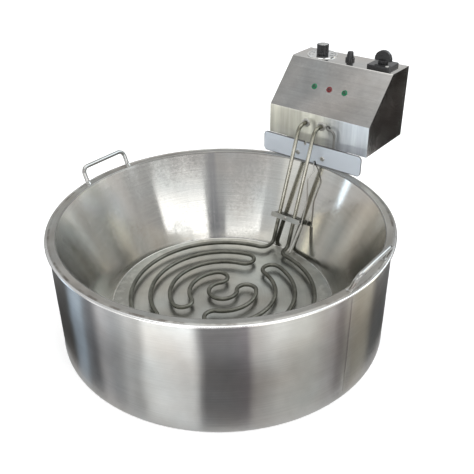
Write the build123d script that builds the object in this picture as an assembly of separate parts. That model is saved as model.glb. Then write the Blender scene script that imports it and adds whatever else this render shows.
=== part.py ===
from build123d import *
import os
from math import asin, atan, atan2, cos, degrees, hypot, pi, radians, sin, sqrt

# Churro fryer: a double-walled steel pan, and a control head that stands on its rim and lifts off
# with the heating element. Millimetres, origin on the ground under the middle of the pan, +Z up,
# +Y towards the control head, handles on X.

# Pan
rim_radius = 300.0
pan_height = 210.0
ledge_width = 18.0
rim_sheet = 2.0
bead_radius = 2.4
pan_sheet = 1.5
skirt_hem = 14.0
floor_radius = 204.0
floor_height = 44.0
floor_sheet = 2.0

# Handles
handle_span = 104.0
handle_rise = 30.0
handle_lean = 12.0
handle_rod = 8.0
handle_bend = 12.0

# Heating element: the gaps are half the distance between the two halves at each turn of the labyrinth
tube_radius = 4.0
ring_margin = 34.0
inner_ring_radius = 26.0
front_outer_gap = 42.0
front_inner_gap = 20.0
back_outer_gap = 15.0
back_inner_gap = 16.0
element_lift = 6.0
leg_spacing = 36.0
leg_offset = -7.0
leg_standoff = 6.0
leg_rise = 74.0
leg_top_bend = 18.0
leg_foot_bend = 12.0
leg_join_bend = 18.0
leg_inside = 20.0

# Ends of the element inside the box
ferrule_radius = 6.0
ferrule_inside = 12.0
ferrule_flange = 8.5
ferrule_flange_height = 2.5
ferrule_nut_height = 5.0
insulator_radius = 3.4
insulator_length = 7.0
stud_radius = 1.9
stud_length = 12.0

# Clip across the legs
clip_length = 68.0
clip_width = 10.0
clip_corner = 2.0
clip_sheet = 2.0
clip_height = 59.0
clip_screw_radius = 2.0
clip_head_radius = 3.5
clip_head_height = 2.4
clip_nut_height = 3.2

# Hanger that stands on the rim
hanger_setback = 2.5
hanger_width = 228.0
hanger_height = 42.0
hanger_sheet = 3.0
hanger_corner = 8.0
hanger_bolt_spacing = 58.0
hanger_bolt_rise = 16.0
notch_width = 6.0
notch_depth = 7.0
bracket_width = 140.0
bracket_depth = 68.0
bracket_bend = 3.0
stay_width = 110.0
stay_depth = 50.0
stay_drop = 45.0
rim_play = 1.0
base_bolt_spacing = 80.0
bolt_radius = 3.0
bolt_head_radius = 5.0
bolt_head_height = 3.0
bolt_nut_height = 5.0
bolt_end = 1.0

# Control box
box_gap = 17.0
box_rise = 34.0
box_width = 228.0
box_depth = 147.0
box_height = 144.0
box_front_height = 60.0
box_top_depth = 68.0
box_sheet = 1.2
box_bend = 3.0
flange_width = 12.0
panel_gap = 0.5
screw_inset = 15.0
small_screw_radius = 1.9
small_head_radius = 3.6
small_head_height = 2.0
small_screw_length = 7.0

# Thermostat with its dial and knob
thermostat_inset = 50.0
thermostat_width = 42.0
thermostat_depth = 34.0
thermostat_height = 30.0
thermostat_neck = 5.0
neck_proud = 0.5
neck_nut_height = 3.0
neck_nut_flats = 7.0
dial_margin = 2.5
dial_sheet = 2.0
dial_edge = 0.5
shaft_radius = 3.0
shaft_depth = 14.0
bore_spare = 2.0
knob_radius = 12.5
knob_height = 19.5
knob_flutes = 14
flute_radius = 1.6
knob_lift = 0.6
knob_bore_depth = 14.0
knob_recess_radius = 9.5
knob_cap_radius = 10.0
knob_cap_height = 1.2
knob_cap_seat = 0.8
knob_cap_edge = 0.3

# Safety thermostat with its reset button
reset_x = 1.0
reset_travel = 4.0
reset_play = 0.3
reset_top = 17.5
reset_base_radius = 7.4
reset_tip_radius = 6.0
reset_tip_round = 1.5
reset_neck = 6.0
reset_stem_radius = 4.0
reset_stem_depth = 14.0
collar_radius = 9.5
collar_height = 5.5
collar_web = 1.0
collar_wall = 1.8
collar_round = 1.4
safety_radius = 16.0
safety_height = 26.0

# Selector switch
selector_inset = 40.0
selector_plate_size = 47.0
selector_plate_height = 6.5
selector_plate_edge = 1.5
selector_screw_inset = 6.0
selector_screw_length = 16.0
selector_neck = 7.0
selector_bore_depth = 14.0
switch_width = 44.0
switch_height = 46.0
handle_lift = 0.5
hub_radius = 10.0
hub_height = 7.0
fin_lift = 5.0
fin_length = 35.0
fin_thickness = 9.0
fin_height = 20.0

# Pilot lamps on the slope
lamp_pitch = 34.5
lamp_radius = 6.0
lamp_height = 3.0
lamp_round = 2.1
lamp_spigot = 2.2
lamp_body_radius = 4.8
lamp_body_length = 24.0
lamp_nut_radius = 7.0
lamp_nut_height = 3.0

# Thermostat probe
capillary_radius = 1.25
capillary_bend = 8.0
capillary_shoulder = 7.0
capillary_turn = 11.5
capillary_run_in = 40.0
capillary_run_out = 14.0
capillary_drop = 18.0
capillary_loop = 19.0
capillary_pass = 2.5
capillary_foot_x = 12.0
bulb_radius = 3.0
bulb_length = 57.0
bulb_lean = 39.0
bulb_gap = 1.5
bulb_reach = 22.0
grommet_radius = 3.2
grommet_flange = 5.0
grommet_height = 1.5

# Terminal block and earth stud on the base plate
terminal_length = 76.0
terminal_depth = 24.0
terminal_height = 20.0
terminal_inset = 68.0
terminal_setback = 45.0
terminal_ways = 5
terminal_pitch = 12.0
terminal_end = 5.0
barrier_depth = 5.0
barrier_width = 9.0
terminal_screw_radius = 3.0
terminal_screw_height = 2.0
terminal_screw_length = 6.0
earth_inset = 28.0
earth_setback = 40.0
earth_radius = 2.5
earth_height = 14.0
earth_nut_flats = 4.0
earth_nut_height = 4.0

# Leads inside the box
lead_radius = 1.0
lead_bend = 6.0
lead_tail = 12.0
lead_level = 11.0
lead_spread = 9.0

# Cable gland on the back
gland_inset = 53.0
gland_rise = 40.0
gland_thread = 9.8
gland_bore = 4.5
gland_inside = 10.0
gland_flange_flats = 13.0
gland_flange_height = 5.0
gland_nut_flats = 14.0
gland_nut_height = 5.0
gland_cap_radius = 11.5
gland_cap_mouth = 8.0
gland_cap_height = 14.0

# Fits, and how far a drill runs past a sheet on either side
running_fit = 0.05
hole_clearance = 0.2
touch_gap = 0.05
drill_reach = 12.0

# Places worked out from the driving sizes
mouth_radius = rim_radius - ledge_width
cone_run = (mouth_radius - floor_radius) / (pan_height - floor_height)
cone_wall = pan_sheet * hypot(1, cone_run)
bead_middle = rim_radius - bead_radius
skirt_radius = rim_radius - 2 * bead_radius - hole_clearance
ledge_middle = (mouth_radius + cone_wall + rim_radius - 2 * bead_radius) / 2

hanger_front = mouth_radius + hanger_setback
hanger_back = hanger_front + hanger_sheet
hanger_top = pan_height + hanger_height
hanger_bolt_level = pan_height + hanger_bolt_rise
stay_front = rim_radius + rim_play

box_front = hanger_back + box_gap
box_back = box_front + box_depth
box_bottom = pan_height + box_rise
box_floor = box_bottom + box_sheet
box_fold = box_bottom + box_front_height
box_top = box_bottom + box_height
box_ceiling = box_top - box_sheet
box_crest = box_back - box_top_depth
inner_half_width = box_width / 2 - box_sheet
control_line = box_back - box_top_depth / 2
slope_length = hypot(box_crest - box_front, box_top - box_fold)
slope_run = (box_crest - box_front) / slope_length
slope_climb = (box_top - box_fold) / slope_length
slope_middle = ((box_front + box_crest) / 2, (box_fold + box_top) / 2)

tube_level = floor_height + element_lift + tube_radius
outer_ring_radius = floor_radius - ring_margin
leg_level = pan_height + leg_rise
left_reach = leg_spacing / 2 - leg_offset
right_reach = leg_spacing / 2 + leg_offset


def leg_join_y(reach):
    return sqrt((outer_ring_radius + leg_join_bend) ** 2 - (reach + leg_join_bend) ** 2)


leg_foot_y = max(leg_join_y(left_reach), leg_join_y(right_reach)) + leg_foot_bend
leg_shoulder_y = hanger_front - leg_standoff
leg_slope = (leg_shoulder_y - leg_foot_y) / (leg_level - tube_level)
leg_lean = degrees(atan(leg_slope))


def leg_y(level):
    return leg_foot_y + (level - tube_level) * leg_slope


thermostat_x = thermostat_inset - box_width / 2
selector_x = box_width / 2 - selector_inset
dial_radius = box_top_depth / 2 - dial_margin
dial_top = box_top + dial_sheet
thermostat_neck_top = dial_top + neck_nut_height + neck_proud
knob_bottom = dial_top + knob_lift
knob_top = knob_bottom + knob_height
plate_top = box_top + selector_plate_height
reset_cap_bottom = box_top + collar_web + reset_travel + reset_play

notch_x = leg_offset - notch_width
notch_floor = hanger_top - notch_depth + notch_width / 2
foot_notch_level = pan_height + notch_depth - notch_width / 2
element_nut_corner = ferrule_flange / cos(radians(30))
capillary_x = right_reach + element_nut_corner + grommet_flange + panel_gap
loop_x = capillary_x + capillary_loop
gap_middle = hanger_back + box_gap / 2
bulb_x = leg_offset + clip_length / 2 + bulb_radius + bulb_gap

terminal_x = box_width / 2 - terminal_inset
terminal_y = box_back - terminal_setback
terminal_seat = box_floor + terminal_height - barrier_depth
first_way_x = terminal_x - terminal_pitch * (terminal_ways - 1) / 2
terminal_xs = [first_way_x + terminal_pitch * way for way in range(terminal_ways)]
block_screw_x = terminal_length / 2 - terminal_end
earth_x = earth_inset - box_width / 2
earth_y = box_front + earth_setback

# Directions and ways of standing a solid on its end
out_front = (0, -1, 0)
out_back = (0, 1, 0)
out_slope = (0, -slope_climb, slope_run)
out_top = (0, 0, 1)
out_bottom = (0, 0, -1)
standing = (Align.CENTER, Align.CENTER, Align.MIN)
hanging = (Align.CENTER, Align.CENTER, Align.MAX)


def block(x0, x1, y0, y1, z0, z1):
    corner = (Align.MIN, Align.MIN, Align.MIN)
    return Pos(x0, y0, z0) * Box(x1 - x0, y1 - y0, z1 - z0, align=corner)


def post(x, y, z0, z1, radius):
    return Pos(x, y, z0) * Cylinder(radius, z1 - z0, align=standing)


def spun(points):
    return revolve(Plane.XZ * make_face(Polyline(*points, close=True)), Axis.Z)


def bent_rod(path, radius):
    start = Plane(origin=path @ 0, z_dir=path % 0)
    return sweep(start * Circle(radius), path)


def bent_sheet(points, thickness, inner_bend, width):
    line = FilletPolyline(*points, radius=inner_bend + thickness / 2)
    section = Plane.YZ * trace(line, thickness)
    return extrude(section, width / 2, both=True)


def screw(head_radius, head_height, shank_radius, shank_length):
    head = Cylinder(head_radius, head_height, align=standing)
    head = fillet(head.edges().sort_by(Axis.Z)[-1], head_height / 2)
    return head + Cylinder(shank_radius, shank_length, align=hanging)


def nut(half_flats, height, bore):
    blank = extrude(RegularPolygon(half_flats, 6, major_radius=False), height)
    return blank - Cylinder(bore, 2 * height + drill_reach)


def facing(points, direction):
    return [Plane(origin=point, x_dir=(1, 0, 0), z_dir=direction) for point in points]


def copies(shape, planes):
    return [plane * shape for plane in planes]


def drilled(shape, planes, radius, depth=drill_reach):
    for plane in planes:
        shape = shape - plane * Cylinder(radius, 2 * depth)
    return shape


def save(name, *solids):
    shape = solids[0] if len(solids) == 1 else Compound(list(solids))
    export_step(shape, f"parts/{name}.step")


# Where the fasteners, lamps and glands sit, each on a plane that faces outwards
hanger_bolt_xs = (-hanger_bolt_spacing / 2, hanger_bolt_spacing / 2)
hanger_bolts_at = facing([(x, hanger_front, hanger_bolt_level) for x in hanger_bolt_xs], out_front)
base_bolt_y = box_front + stay_depth / 2
base_bolt_seat = box_bottom - 2 * hanger_sheet
base_bolt_xs = (-base_bolt_spacing / 2, base_bolt_spacing / 2)
base_bolts_at = facing([(x, base_bolt_y, base_bolt_seat) for x in base_bolt_xs], out_bottom)
screw_x = inner_half_width - flange_width / 2
screw_xs = (-screw_x, screw_x)
cover_screw_zs = (box_bottom + screw_inset, box_top - screw_inset)
cover_screws_at = facing([(x, box_back, z) for x in screw_xs for z in cover_screw_zs], out_back)
base_screw_ys = (box_front + screw_inset, box_back - screw_inset)
base_screws_at = facing([(x, y, box_bottom) for x in screw_xs for y in base_screw_ys], out_bottom)
block_screw_xs = (terminal_x - block_screw_x, terminal_x + block_screw_x)
block_screws_at = facing([(x, terminal_y, box_floor + terminal_height) for x in block_screw_xs], out_top)
selector_reach = selector_plate_size / 2 - selector_screw_inset
selector_screws_at = [(selector_x + s * selector_reach, control_line - s * selector_reach) for s in (-1, 1)]
ferrules_at = facing([(x, box_front, leg_level) for x in (-left_reach, right_reach)], out_front)
grommet_at = facing([(capillary_x, box_front, leg_level)], out_front)
capillary_pass_at = facing([(loop_x, gap_middle, box_bottom)], out_top)
lamps_at = facing([(x, *slope_middle) for x in (-lamp_pitch, 0, lamp_pitch)], out_slope)
gland_at = facing([(box_width / 2 - gland_inset, box_back, box_bottom + gland_rise)], out_back)


# Pan
def outer_skirt():
    inside = skirt_radius - pan_sheet
    top = pan_height - rim_sheet
    hem = skirt_radius - skirt_hem
    outer_edge = [(hem, 0), (skirt_radius, 0), (skirt_radius, top)]
    inner_edge = [(inside, top), (inside, pan_sheet), (hem, pan_sheet)]
    return spun(outer_edge + inner_edge)


def rim_ring():
    inner = mouth_radius + cone_wall
    ledge = Rectangle(bead_middle - inner, rim_sheet)
    ledge = Pos((inner + bead_middle) / 2, pan_height - rim_sheet / 2) * ledge
    bead = Pos(bead_middle, pan_height - bead_radius) * Circle(bead_radius)
    return revolve(Plane.XZ * (ledge + bead), Axis.Z)


def bowl_cone():
    foot = floor_radius + cone_wall
    top = mouth_radius + cone_wall
    low_edge = [(floor_radius, floor_height), (foot, floor_height)]
    high_edge = [(top, pan_height), (mouth_radius, pan_height)]
    return spun(low_edge + high_edge)


def bowl_floor():
    return post(0, 0, floor_height - floor_sheet, floor_height, floor_radius + cone_wall)


# Each handle is a bent rod cut flat where it stands on the ledge
def handle(side):
    half = handle_span / 2
    seat = sqrt(ledge_middle**2 - half**2)
    sunk = handle_rod / handle_rise
    foot_x = side * (seat - handle_lean * sunk)
    top_x = side * (seat + handle_lean)
    foot_z = pan_height - handle_rise * sunk
    top_z = pan_height + handle_rise
    front_leg = [(foot_x, -half, foot_z), (top_x, -half, top_z)]
    rear_leg = [(top_x, half, top_z), (foot_x, half, foot_z)]
    rod = bent_rod(FilletPolyline(*front_leg, *rear_leg, radius=handle_bend), handle_rod / 2)
    return rod - post(0, 0, 0, pan_height, 2 * rim_radius)


# One half of the labyrinth, seen from above, from the foot of the left leg to the middle of the front:
# ring arcs about the pan's axis, joined by half-circle turns at the front and the back
def labyrinth_half(reach):
    gaps = [front_outer_gap, back_outer_gap, front_inner_gap, back_inner_gap]
    pitch = (outer_ring_radius - inner_ring_radius) / len(gaps)
    turn_radius = pitch / 2
    ring = outer_ring_radius
    join_y = leg_join_y(reach)
    angle = degrees(atan2(join_y, -reach - leg_join_bend))
    arcs = [CenterArc((-reach - leg_join_bend, join_y), leg_join_bend, 0, angle - 180)]
    turn = 1
    for gap in gaps:
        middle = ring - turn_radius
        spread = degrees(asin((gap + turn_radius) / middle))
        stop = 270 - spread if turn > 0 else 90 + spread
        centre = (middle * cos(radians(stop)), middle * sin(radians(stop)))
        arcs.append(CenterArc((0, 0), ring, angle, stop - angle))
        arcs.append(CenterArc(centre, turn_radius, stop, 180 * turn))
        ring -= pitch
        angle = stop
        turn = -turn
    arcs.append(CenterArc((0, 0), ring, angle, 270 - angle))
    return [Pos(0, 0, tube_level) * arc for arc in arcs]


def element_leg(reach):
    inside = (-reach, box_front + leg_inside, leg_level)
    shoulder = (-reach, leg_shoulder_y, leg_level)
    foot = (-reach, leg_foot_y, tube_level)
    join = (-reach, leg_join_y(reach), tube_level)
    return FilletPolyline(inside, shoulder, foot, join, radius=[leg_top_bend, leg_foot_bend])


# The whole element is one unbroken tube from leg to leg
def element_path():
    left = element_leg(left_reach).edges() + labyrinth_half(left_reach)
    right = element_leg(right_reach).edges() + labyrinth_half(right_reach)
    curves = [*left, *[mirror(curve, about=Plane.YZ) for curve in right]]
    return Wire([edge for curve in curves for edge in curve.edges()])


def least_gap_to_itself(path, radius):
    count = int(path.length / radius)
    step = path.length / count
    points = [path @ (index / count) for index in range(count + 1)]
    skip = int(2 * leg_join_bend / step) + 1
    gaps = [(a - b).length for index, a in enumerate(points) for b in points[index + skip :]]
    return min(gaps) - 2 * radius


def heating_element():
    path = element_path()
    tube = bent_rod(path, tube_radius)
    share = tube.volume / (pi * tube_radius**2 * path.length)
    print(f"heating element: length {path.length:.0f}, volume over section times length {share:.4f}")
    print(f"heating element: least gap to itself {least_gap_to_itself(path, tube_radius):.1f}")
    return tube


def element_ferrule():
    sleeve = Cylinder(ferrule_radius, ferrule_inside, align=hanging)
    flange = Cylinder(ferrule_flange, ferrule_flange_height, align=standing)
    return sleeve + flange - Cylinder(tube_radius + touch_gap, 2 * ferrule_inside + drill_reach)


def element_nut():
    seat = Pos(0, 0, -box_sheet - ferrule_nut_height)
    return seat * nut(ferrule_flange, ferrule_nut_height, ferrule_radius + touch_gap)


def element_insulator():
    return Pos(0, 0, -leg_inside) * Cylinder(insulator_radius, insulator_length, align=hanging)


def element_stud():
    return Pos(0, 0, -leg_inside - insulator_length) * Cylinder(stud_radius, stud_length, align=hanging)


# Clip: two strips pulled together by a screw between the legs
clip_level = floor_height + element_lift + clip_height
clip_axis = (0, sin(radians(leg_lean)), cos(radians(leg_lean)))
clip_plane = Plane(origin=(leg_offset, leg_y(clip_level), clip_level), x_dir=(1, 0, 0), z_dir=clip_axis)
clip_offset = tube_radius + touch_gap
clip_grip = 2 * (clip_offset + clip_sheet)


def clip_strip(side):
    middle = side * (clip_offset + clip_sheet / 2)
    strip = Pos(0, middle, 0) * Box(clip_length, clip_sheet, clip_width)
    strip = fillet(strip.edges().filter_by(Axis.Y), clip_corner)
    hole = Rot(90, 0, 0) * Cylinder(clip_screw_radius + touch_gap, 2 * clip_grip)
    return clip_plane * (strip - hole)


def clip_screw():
    body = screw(clip_head_radius, clip_head_height, clip_screw_radius, clip_grip + clip_nut_height)
    return clip_plane * Pos(0, -clip_grip / 2, 0) * Rot(90, 0, 0) * body


def clip_nut():
    body = nut(clip_head_radius, clip_nut_height, clip_screw_radius + touch_gap)
    return clip_plane * Pos(0, clip_grip / 2, 0) * Rot(-90, 0, 0) * body


# Hanger: the plate on the ledge, the angle behind it and the stay outside the rim
def hanger_plate():
    half = hanger_width / 2
    plate = block(-half, half, hanger_front, hanger_back, pan_height, hanger_top)
    plate = fillet(plate.edges().filter_by(Axis.Y), hanger_corner)
    cuts = [(notch_x, notch_floor, hanger_top, notch_floor)]
    cuts.append((capillary_foot_x, pan_height, foot_notch_level, foot_notch_level))
    for x, low, high, round_level in cuts:
        plate -= block(x - notch_width / 2, x + notch_width / 2, hanger_front, hanger_back, low, high)
        plate = drilled(plate, facing([(x, hanger_front, round_level)], out_front), notch_width / 2)
    return drilled(plate, hanger_bolts_at, bolt_radius + hole_clearance)


def hanger_angle():
    middle = hanger_sheet / 2
    low = (hanger_back + middle, pan_height + hanger_corner)
    corner = (hanger_back + middle, box_bottom - middle)
    rear = (hanger_back + bracket_depth, box_bottom - middle)
    angle = bent_sheet([low, corner, rear], hanger_sheet, bracket_bend, bracket_width)
    angle = drilled(angle, hanger_bolts_at, bolt_radius + hole_clearance)
    angle = drilled(angle, capillary_pass_at, capillary_pass)
    return drilled(angle, base_bolts_at, bolt_radius + hole_clearance)


def rear_stay():
    middle = hanger_sheet / 2
    level = box_bottom - hanger_sheet - middle
    low = (stay_front + middle, pan_height - stay_drop)
    corner = (stay_front + middle, level)
    rear = (stay_front + stay_depth, level)
    stay = bent_sheet([low, corner, rear], hanger_sheet, bracket_bend, stay_width)
    return drilled(stay, base_bolts_at, bolt_radius + hole_clearance)


def bolt(grip):
    return screw(bolt_head_radius, bolt_head_height, bolt_radius, grip + bolt_nut_height + bolt_end)


def bolt_nut(grip):
    body = nut(bolt_head_radius, bolt_nut_height, bolt_radius + touch_gap)
    return Pos(0, 0, -grip - bolt_nut_height) * body


# Control box: the front, slope and top are one bent sheet between two side panels
def fold_point(inset):
    return (box_front + inset, box_fold - inset * (1 - slope_climb) / slope_run)


def crest_point(inset):
    return (box_crest + inset * (1 - slope_run) / slope_climb, box_top - inset)


def top_hole(x, y, radius):
    return post(x, y, box_ceiling - drill_reach, box_top + drill_reach, radius + hole_clearance)


def box_wrap():
    half = box_sheet / 2
    front_line = [(box_front + half, box_bottom), fold_point(half)]
    top_line = [crest_point(half), (box_back, box_top - half)]
    wrap = bent_sheet(front_line + top_line, box_sheet, box_bend - box_sheet, 2 * inner_half_width)
    wrap -= top_hole(thermostat_x, control_line, thermostat_neck)
    wrap -= top_hole(reset_x, control_line, reset_neck)
    wrap -= top_hole(selector_x, control_line, selector_neck)
    for x, y in selector_screws_at:
        wrap -= top_hole(x, y, small_screw_radius)
    wrap = drilled(wrap, lamps_at, lamp_body_radius + hole_clearance)
    wrap = drilled(wrap, ferrules_at, ferrule_radius + hole_clearance)
    return drilled(wrap, grommet_at, grommet_radius)


def side_panel(side):
    front_line = [(box_front, box_bottom), (box_front, box_fold)]
    top_line = [(box_crest, box_top), (box_back, box_top)]
    bent_edge = FilletPolyline(*front_line, *top_line, radius=box_bend)
    straight_edge = Polyline((box_back, box_top), (box_back, box_bottom), (box_front, box_bottom))
    face = Plane.YZ * make_face(bent_edge.edges() + straight_edge.edges())
    panel = Pos(inner_half_width, 0, 0) * extrude(face, box_sheet, dir=(1, 0, 0))
    inner = inner_half_width - flange_width
    outer = inner_half_width + box_sheet / 2
    rear = box_back - box_sheet
    panel += block(inner, outer, rear - box_sheet, rear, box_floor + 2 * box_sheet, box_ceiling - panel_gap)
    low_front = box_front + box_sheet + panel_gap
    panel += block(inner, outer, low_front, rear - 2 * box_sheet, box_floor, box_floor + box_sheet)
    if side < 0:
        panel = mirror(panel, about=Plane.YZ)
    panel = drilled(panel, cover_screws_at, small_screw_radius + touch_gap, small_screw_length)
    return drilled(panel, base_screws_at, small_screw_radius + touch_gap, small_screw_length)


def back_cover():
    half = inner_half_width
    cover = block(-half, half, box_back - box_sheet, box_back, box_bottom, box_ceiling)
    cover = drilled(cover, cover_screws_at, small_screw_radius + hole_clearance)
    return drilled(cover, gland_at, gland_thread + hole_clearance)


def base_plate():
    half = inner_half_width
    plate = block(-half, half, box_front + box_sheet, box_back - box_sheet, box_bottom, box_floor)
    plate = drilled(plate, base_screws_at, small_screw_radius + hole_clearance)
    plate = drilled(plate, base_bolts_at, bolt_radius + hole_clearance)
    return drilled(plate, block_screws_at, small_screw_radius + touch_gap, 2 * terminal_height)


# Thermostat: body under the top, neck through the dial, nut, shaft and knob
def under_top(x, width, depth, height):
    return Pos(x, control_line, box_ceiling) * Box(width, depth, height, align=hanging)


def thermostat_body():
    body = under_top(thermostat_x, thermostat_width, thermostat_depth, thermostat_height)
    body += post(thermostat_x, control_line, box_ceiling, thermostat_neck_top, thermostat_neck)
    bore_floor = box_top - shaft_depth - bore_spare
    bore = shaft_radius + running_fit
    return body - post(thermostat_x, control_line, bore_floor, thermostat_neck_top, bore)


def dial_disc():
    disc = post(thermostat_x, control_line, box_top, dial_top, dial_radius)
    disc = chamfer(disc.edges().group_by(Axis.Z)[-1], dial_edge)
    return disc - post(thermostat_x, control_line, box_top, dial_top, thermostat_neck + hole_clearance)


def thermostat_nut():
    body = nut(neck_nut_flats, neck_nut_height, thermostat_neck + touch_gap)
    return Pos(thermostat_x, control_line, dial_top) * body


def thermostat_shaft():
    top = knob_bottom + knob_bore_depth
    return post(thermostat_x, control_line, box_top - shaft_depth, top, shaft_radius)


def knob():
    body = Cylinder(knob_radius, knob_height, align=standing)
    body = fillet(body.edges().sort_by(Axis.Z)[-1], knob_cap_seat)
    flute = Cylinder(flute_radius, knob_height, align=standing)
    body -= [place * flute for place in PolarLocations(knob_radius + flute_radius / 2, knob_flutes)]
    body -= Cylinder(knob_recess_radius, thermostat_neck_top - knob_bottom + knob_lift, align=standing)
    body -= Cylinder(shaft_radius + touch_gap, knob_bore_depth, align=standing)
    cap_seat = Cylinder(knob_cap_radius + touch_gap, knob_cap_seat, align=hanging)
    body -= Pos(0, 0, knob_height) * cap_seat
    return Pos(thermostat_x, control_line, knob_bottom) * body


def knob_cap():
    bottom = knob_top - knob_cap_seat
    cap = post(thermostat_x, control_line, bottom, bottom + knob_cap_height, knob_cap_radius)
    return fillet(cap.edges().sort_by(Axis.Z)[-1], knob_cap_edge)


# Safety thermostat with its reset button in a collar
def safety_body():
    body = post(reset_x, control_line, box_ceiling - safety_height, box_ceiling, safety_radius)
    body += post(reset_x, control_line, box_ceiling, box_top + collar_web, reset_neck)
    bore_floor = box_top - reset_stem_depth - reset_travel - bore_spare
    bore = reset_stem_radius + running_fit
    return body - post(reset_x, control_line, bore_floor, box_top + collar_web, bore)


def reset_collar():
    cup = Cylinder(collar_radius, collar_height, align=standing)
    cup = fillet(cup.edges().sort_by(Axis.Z)[-1], collar_round)
    cup -= Pos(0, 0, collar_web) * Cylinder(collar_radius - collar_wall, collar_height, align=standing)
    cup -= Cylinder(reset_neck + touch_gap, collar_height, align=standing)
    return Pos(reset_x, control_line, box_top) * cup


def reset_button():
    cap_height = box_top + reset_top - reset_cap_bottom
    cap = Cone(reset_base_radius, reset_tip_radius, cap_height, align=standing)
    cap = fillet(cap.edges().sort_by(Axis.Z)[-1], reset_tip_round)
    stem = Cylinder(reset_stem_radius, reset_cap_bottom - box_top + reset_stem_depth, align=hanging)
    return Pos(reset_x, control_line, reset_cap_bottom) * (cap + stem)


# Selector: switch body under the top, square plate on it, shaft and fin handle
def switch_body():
    body = under_top(selector_x, switch_width, switch_width, switch_height)
    body += post(selector_x, control_line, box_ceiling, plate_top, selector_neck)
    bore_floor = box_top - shaft_depth - bore_spare
    body -= post(selector_x, control_line, bore_floor, plate_top, shaft_radius + running_fit)
    screw_floor = plate_top - selector_screw_length - bore_spare
    for x, y in selector_screws_at:
        body -= post(x, y, screw_floor, box_top, small_screw_radius + touch_gap)
    return body


def selector_plate():
    plate = Box(selector_plate_size, selector_plate_size, selector_plate_height, align=standing)
    plate = Pos(selector_x, control_line, box_top) * plate
    plate = fillet(plate.edges().filter_by(Axis.Z), 2 * selector_plate_edge)
    plate = fillet(plate.edges().group_by(Axis.Z)[-1], selector_plate_edge)
    plate -= top_hole(selector_x, control_line, selector_neck)
    for x, y in selector_screws_at:
        plate -= top_hole(x, y, small_screw_radius)
    return plate


def selector_screws():
    body = screw(small_head_radius, small_head_height, small_screw_radius, selector_screw_length)
    return [Pos(x, y, plate_top) * body for x, y in selector_screws_at]


def selector_shaft():
    top = plate_top + handle_lift + selector_bore_depth
    return post(selector_x, control_line, box_top - shaft_depth, top, shaft_radius)


def selector_handle():
    half = fin_length / 2
    top = fin_lift + fin_height
    side_top = top - half
    arch = Polyline((-half, side_top), (-half, fin_lift), (half, fin_lift), (half, side_top))
    arch += ThreePointArc((half, side_top), (0, top), (-half, side_top))
    fin = extrude(Plane.XZ * make_face(arch), fin_thickness / 2, both=True)
    fin = fillet(fin.edges().filter_by(GeomType.CIRCLE), selector_plate_edge)
    hub = Cylinder(hub_radius, hub_height, align=standing)
    grip = fin + hub - Cylinder(shaft_radius + touch_gap, selector_bore_depth, align=standing)
    return Pos(selector_x, control_line, plate_top + handle_lift) * grip


# Pilot lamps: lens outside, body and nut inside the slope
def lamp_lens():
    lens = Cylinder(lamp_radius, lamp_height, align=standing)
    lens = fillet(lens.edges().sort_by(Axis.Z)[-1], lamp_round)
    return lens + Cylinder(lamp_body_radius, lamp_spigot, align=hanging)


def lamp_body():
    return Pos(0, 0, -lamp_spigot) * Cylinder(lamp_body_radius, lamp_body_length, align=hanging)


def lamp_nut():
    ring = Cylinder(lamp_nut_radius, lamp_nut_height, align=hanging)
    ring -= Cylinder(lamp_body_radius + touch_gap, 2 * lamp_nut_height + drill_reach)
    return Pos(0, 0, -box_sheet) * ring


# Thermostat probe: the capillary leaves the thermostat, goes out through the grommet beside the right leg,
# turns down behind the hanger plate, passes the hole in the angle and the notch in the plate's foot and,
# slack, goes down beside the right leg to the bulb. The slack points are chosen by hand: how far right of
# the leg, how far behind its middle line, and how far above the rim
slack_points = [(9.0, 0.0, -16.0), (15.5, 8.0, -60.0)]
lip_point = (11.0, 14.0, -6.0)
lip_run = 5.0


def probe_route():
    inside_level = leg_level + capillary_drop
    inside = (thermostat_x, control_line, box_ceiling - thermostat_height)
    below = (thermostat_x, control_line, inside_level)
    behind = (capillary_x, box_front + capillary_run_in, inside_level)
    before = (capillary_x, box_front + capillary_run_out, leg_level)
    out = (capillary_x, gap_middle, leg_level)
    loop = (loop_x, gap_middle, leg_level)
    low = (loop_x, gap_middle, foot_notch_level)
    turn = (capillary_foot_x, gap_middle, foot_notch_level)
    ledge = (capillary_foot_x, hanger_front - lip_run, foot_notch_level)
    lip = (right_reach + lip_point[0], mouth_radius - lip_point[1], pan_height + lip_point[2])
    slack = [(right_reach + x, leg_y(pan_height + z) + y, pan_height + z) for x, y, z in slack_points]
    lean = radians(bulb_lean)
    foot = Vector(bulb_x, leg_foot_y - bulb_reach, tube_level + tube_radius + bulb_radius)
    top = foot + Vector(0, sin(lean), cos(lean)) * bulb_length
    return [inside, below, behind, before, out, loop, low, turn, ledge, lip, *slack, top], foot


def thermostat_probe():
    points, foot = probe_route()
    corners = len(points) - 2
    bends = [capillary_bend] * corners
    bends[3:5] = [capillary_shoulder, capillary_turn]
    line = bent_rod(FilletPolyline(*points, radius=bends), capillary_radius)
    axis = Plane(origin=foot, z_dir=points[-1] - foot)
    bulb = axis * Cylinder(bulb_radius, bulb_length, align=standing)
    return line + bulb + Pos(foot) * Sphere(bulb_radius) + Pos(points[-1]) * Sphere(bulb_radius)


def capillary_grommet():
    outer = Cylinder(grommet_flange, grommet_height, align=standing)
    inner = Pos(0, 0, -box_sheet) * Cylinder(grommet_flange, grommet_height, align=hanging)
    core = Cylinder(grommet_radius, box_sheet, align=hanging)
    return outer + inner + core - Cylinder(capillary_radius + touch_gap, 2 * drill_reach)


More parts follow.
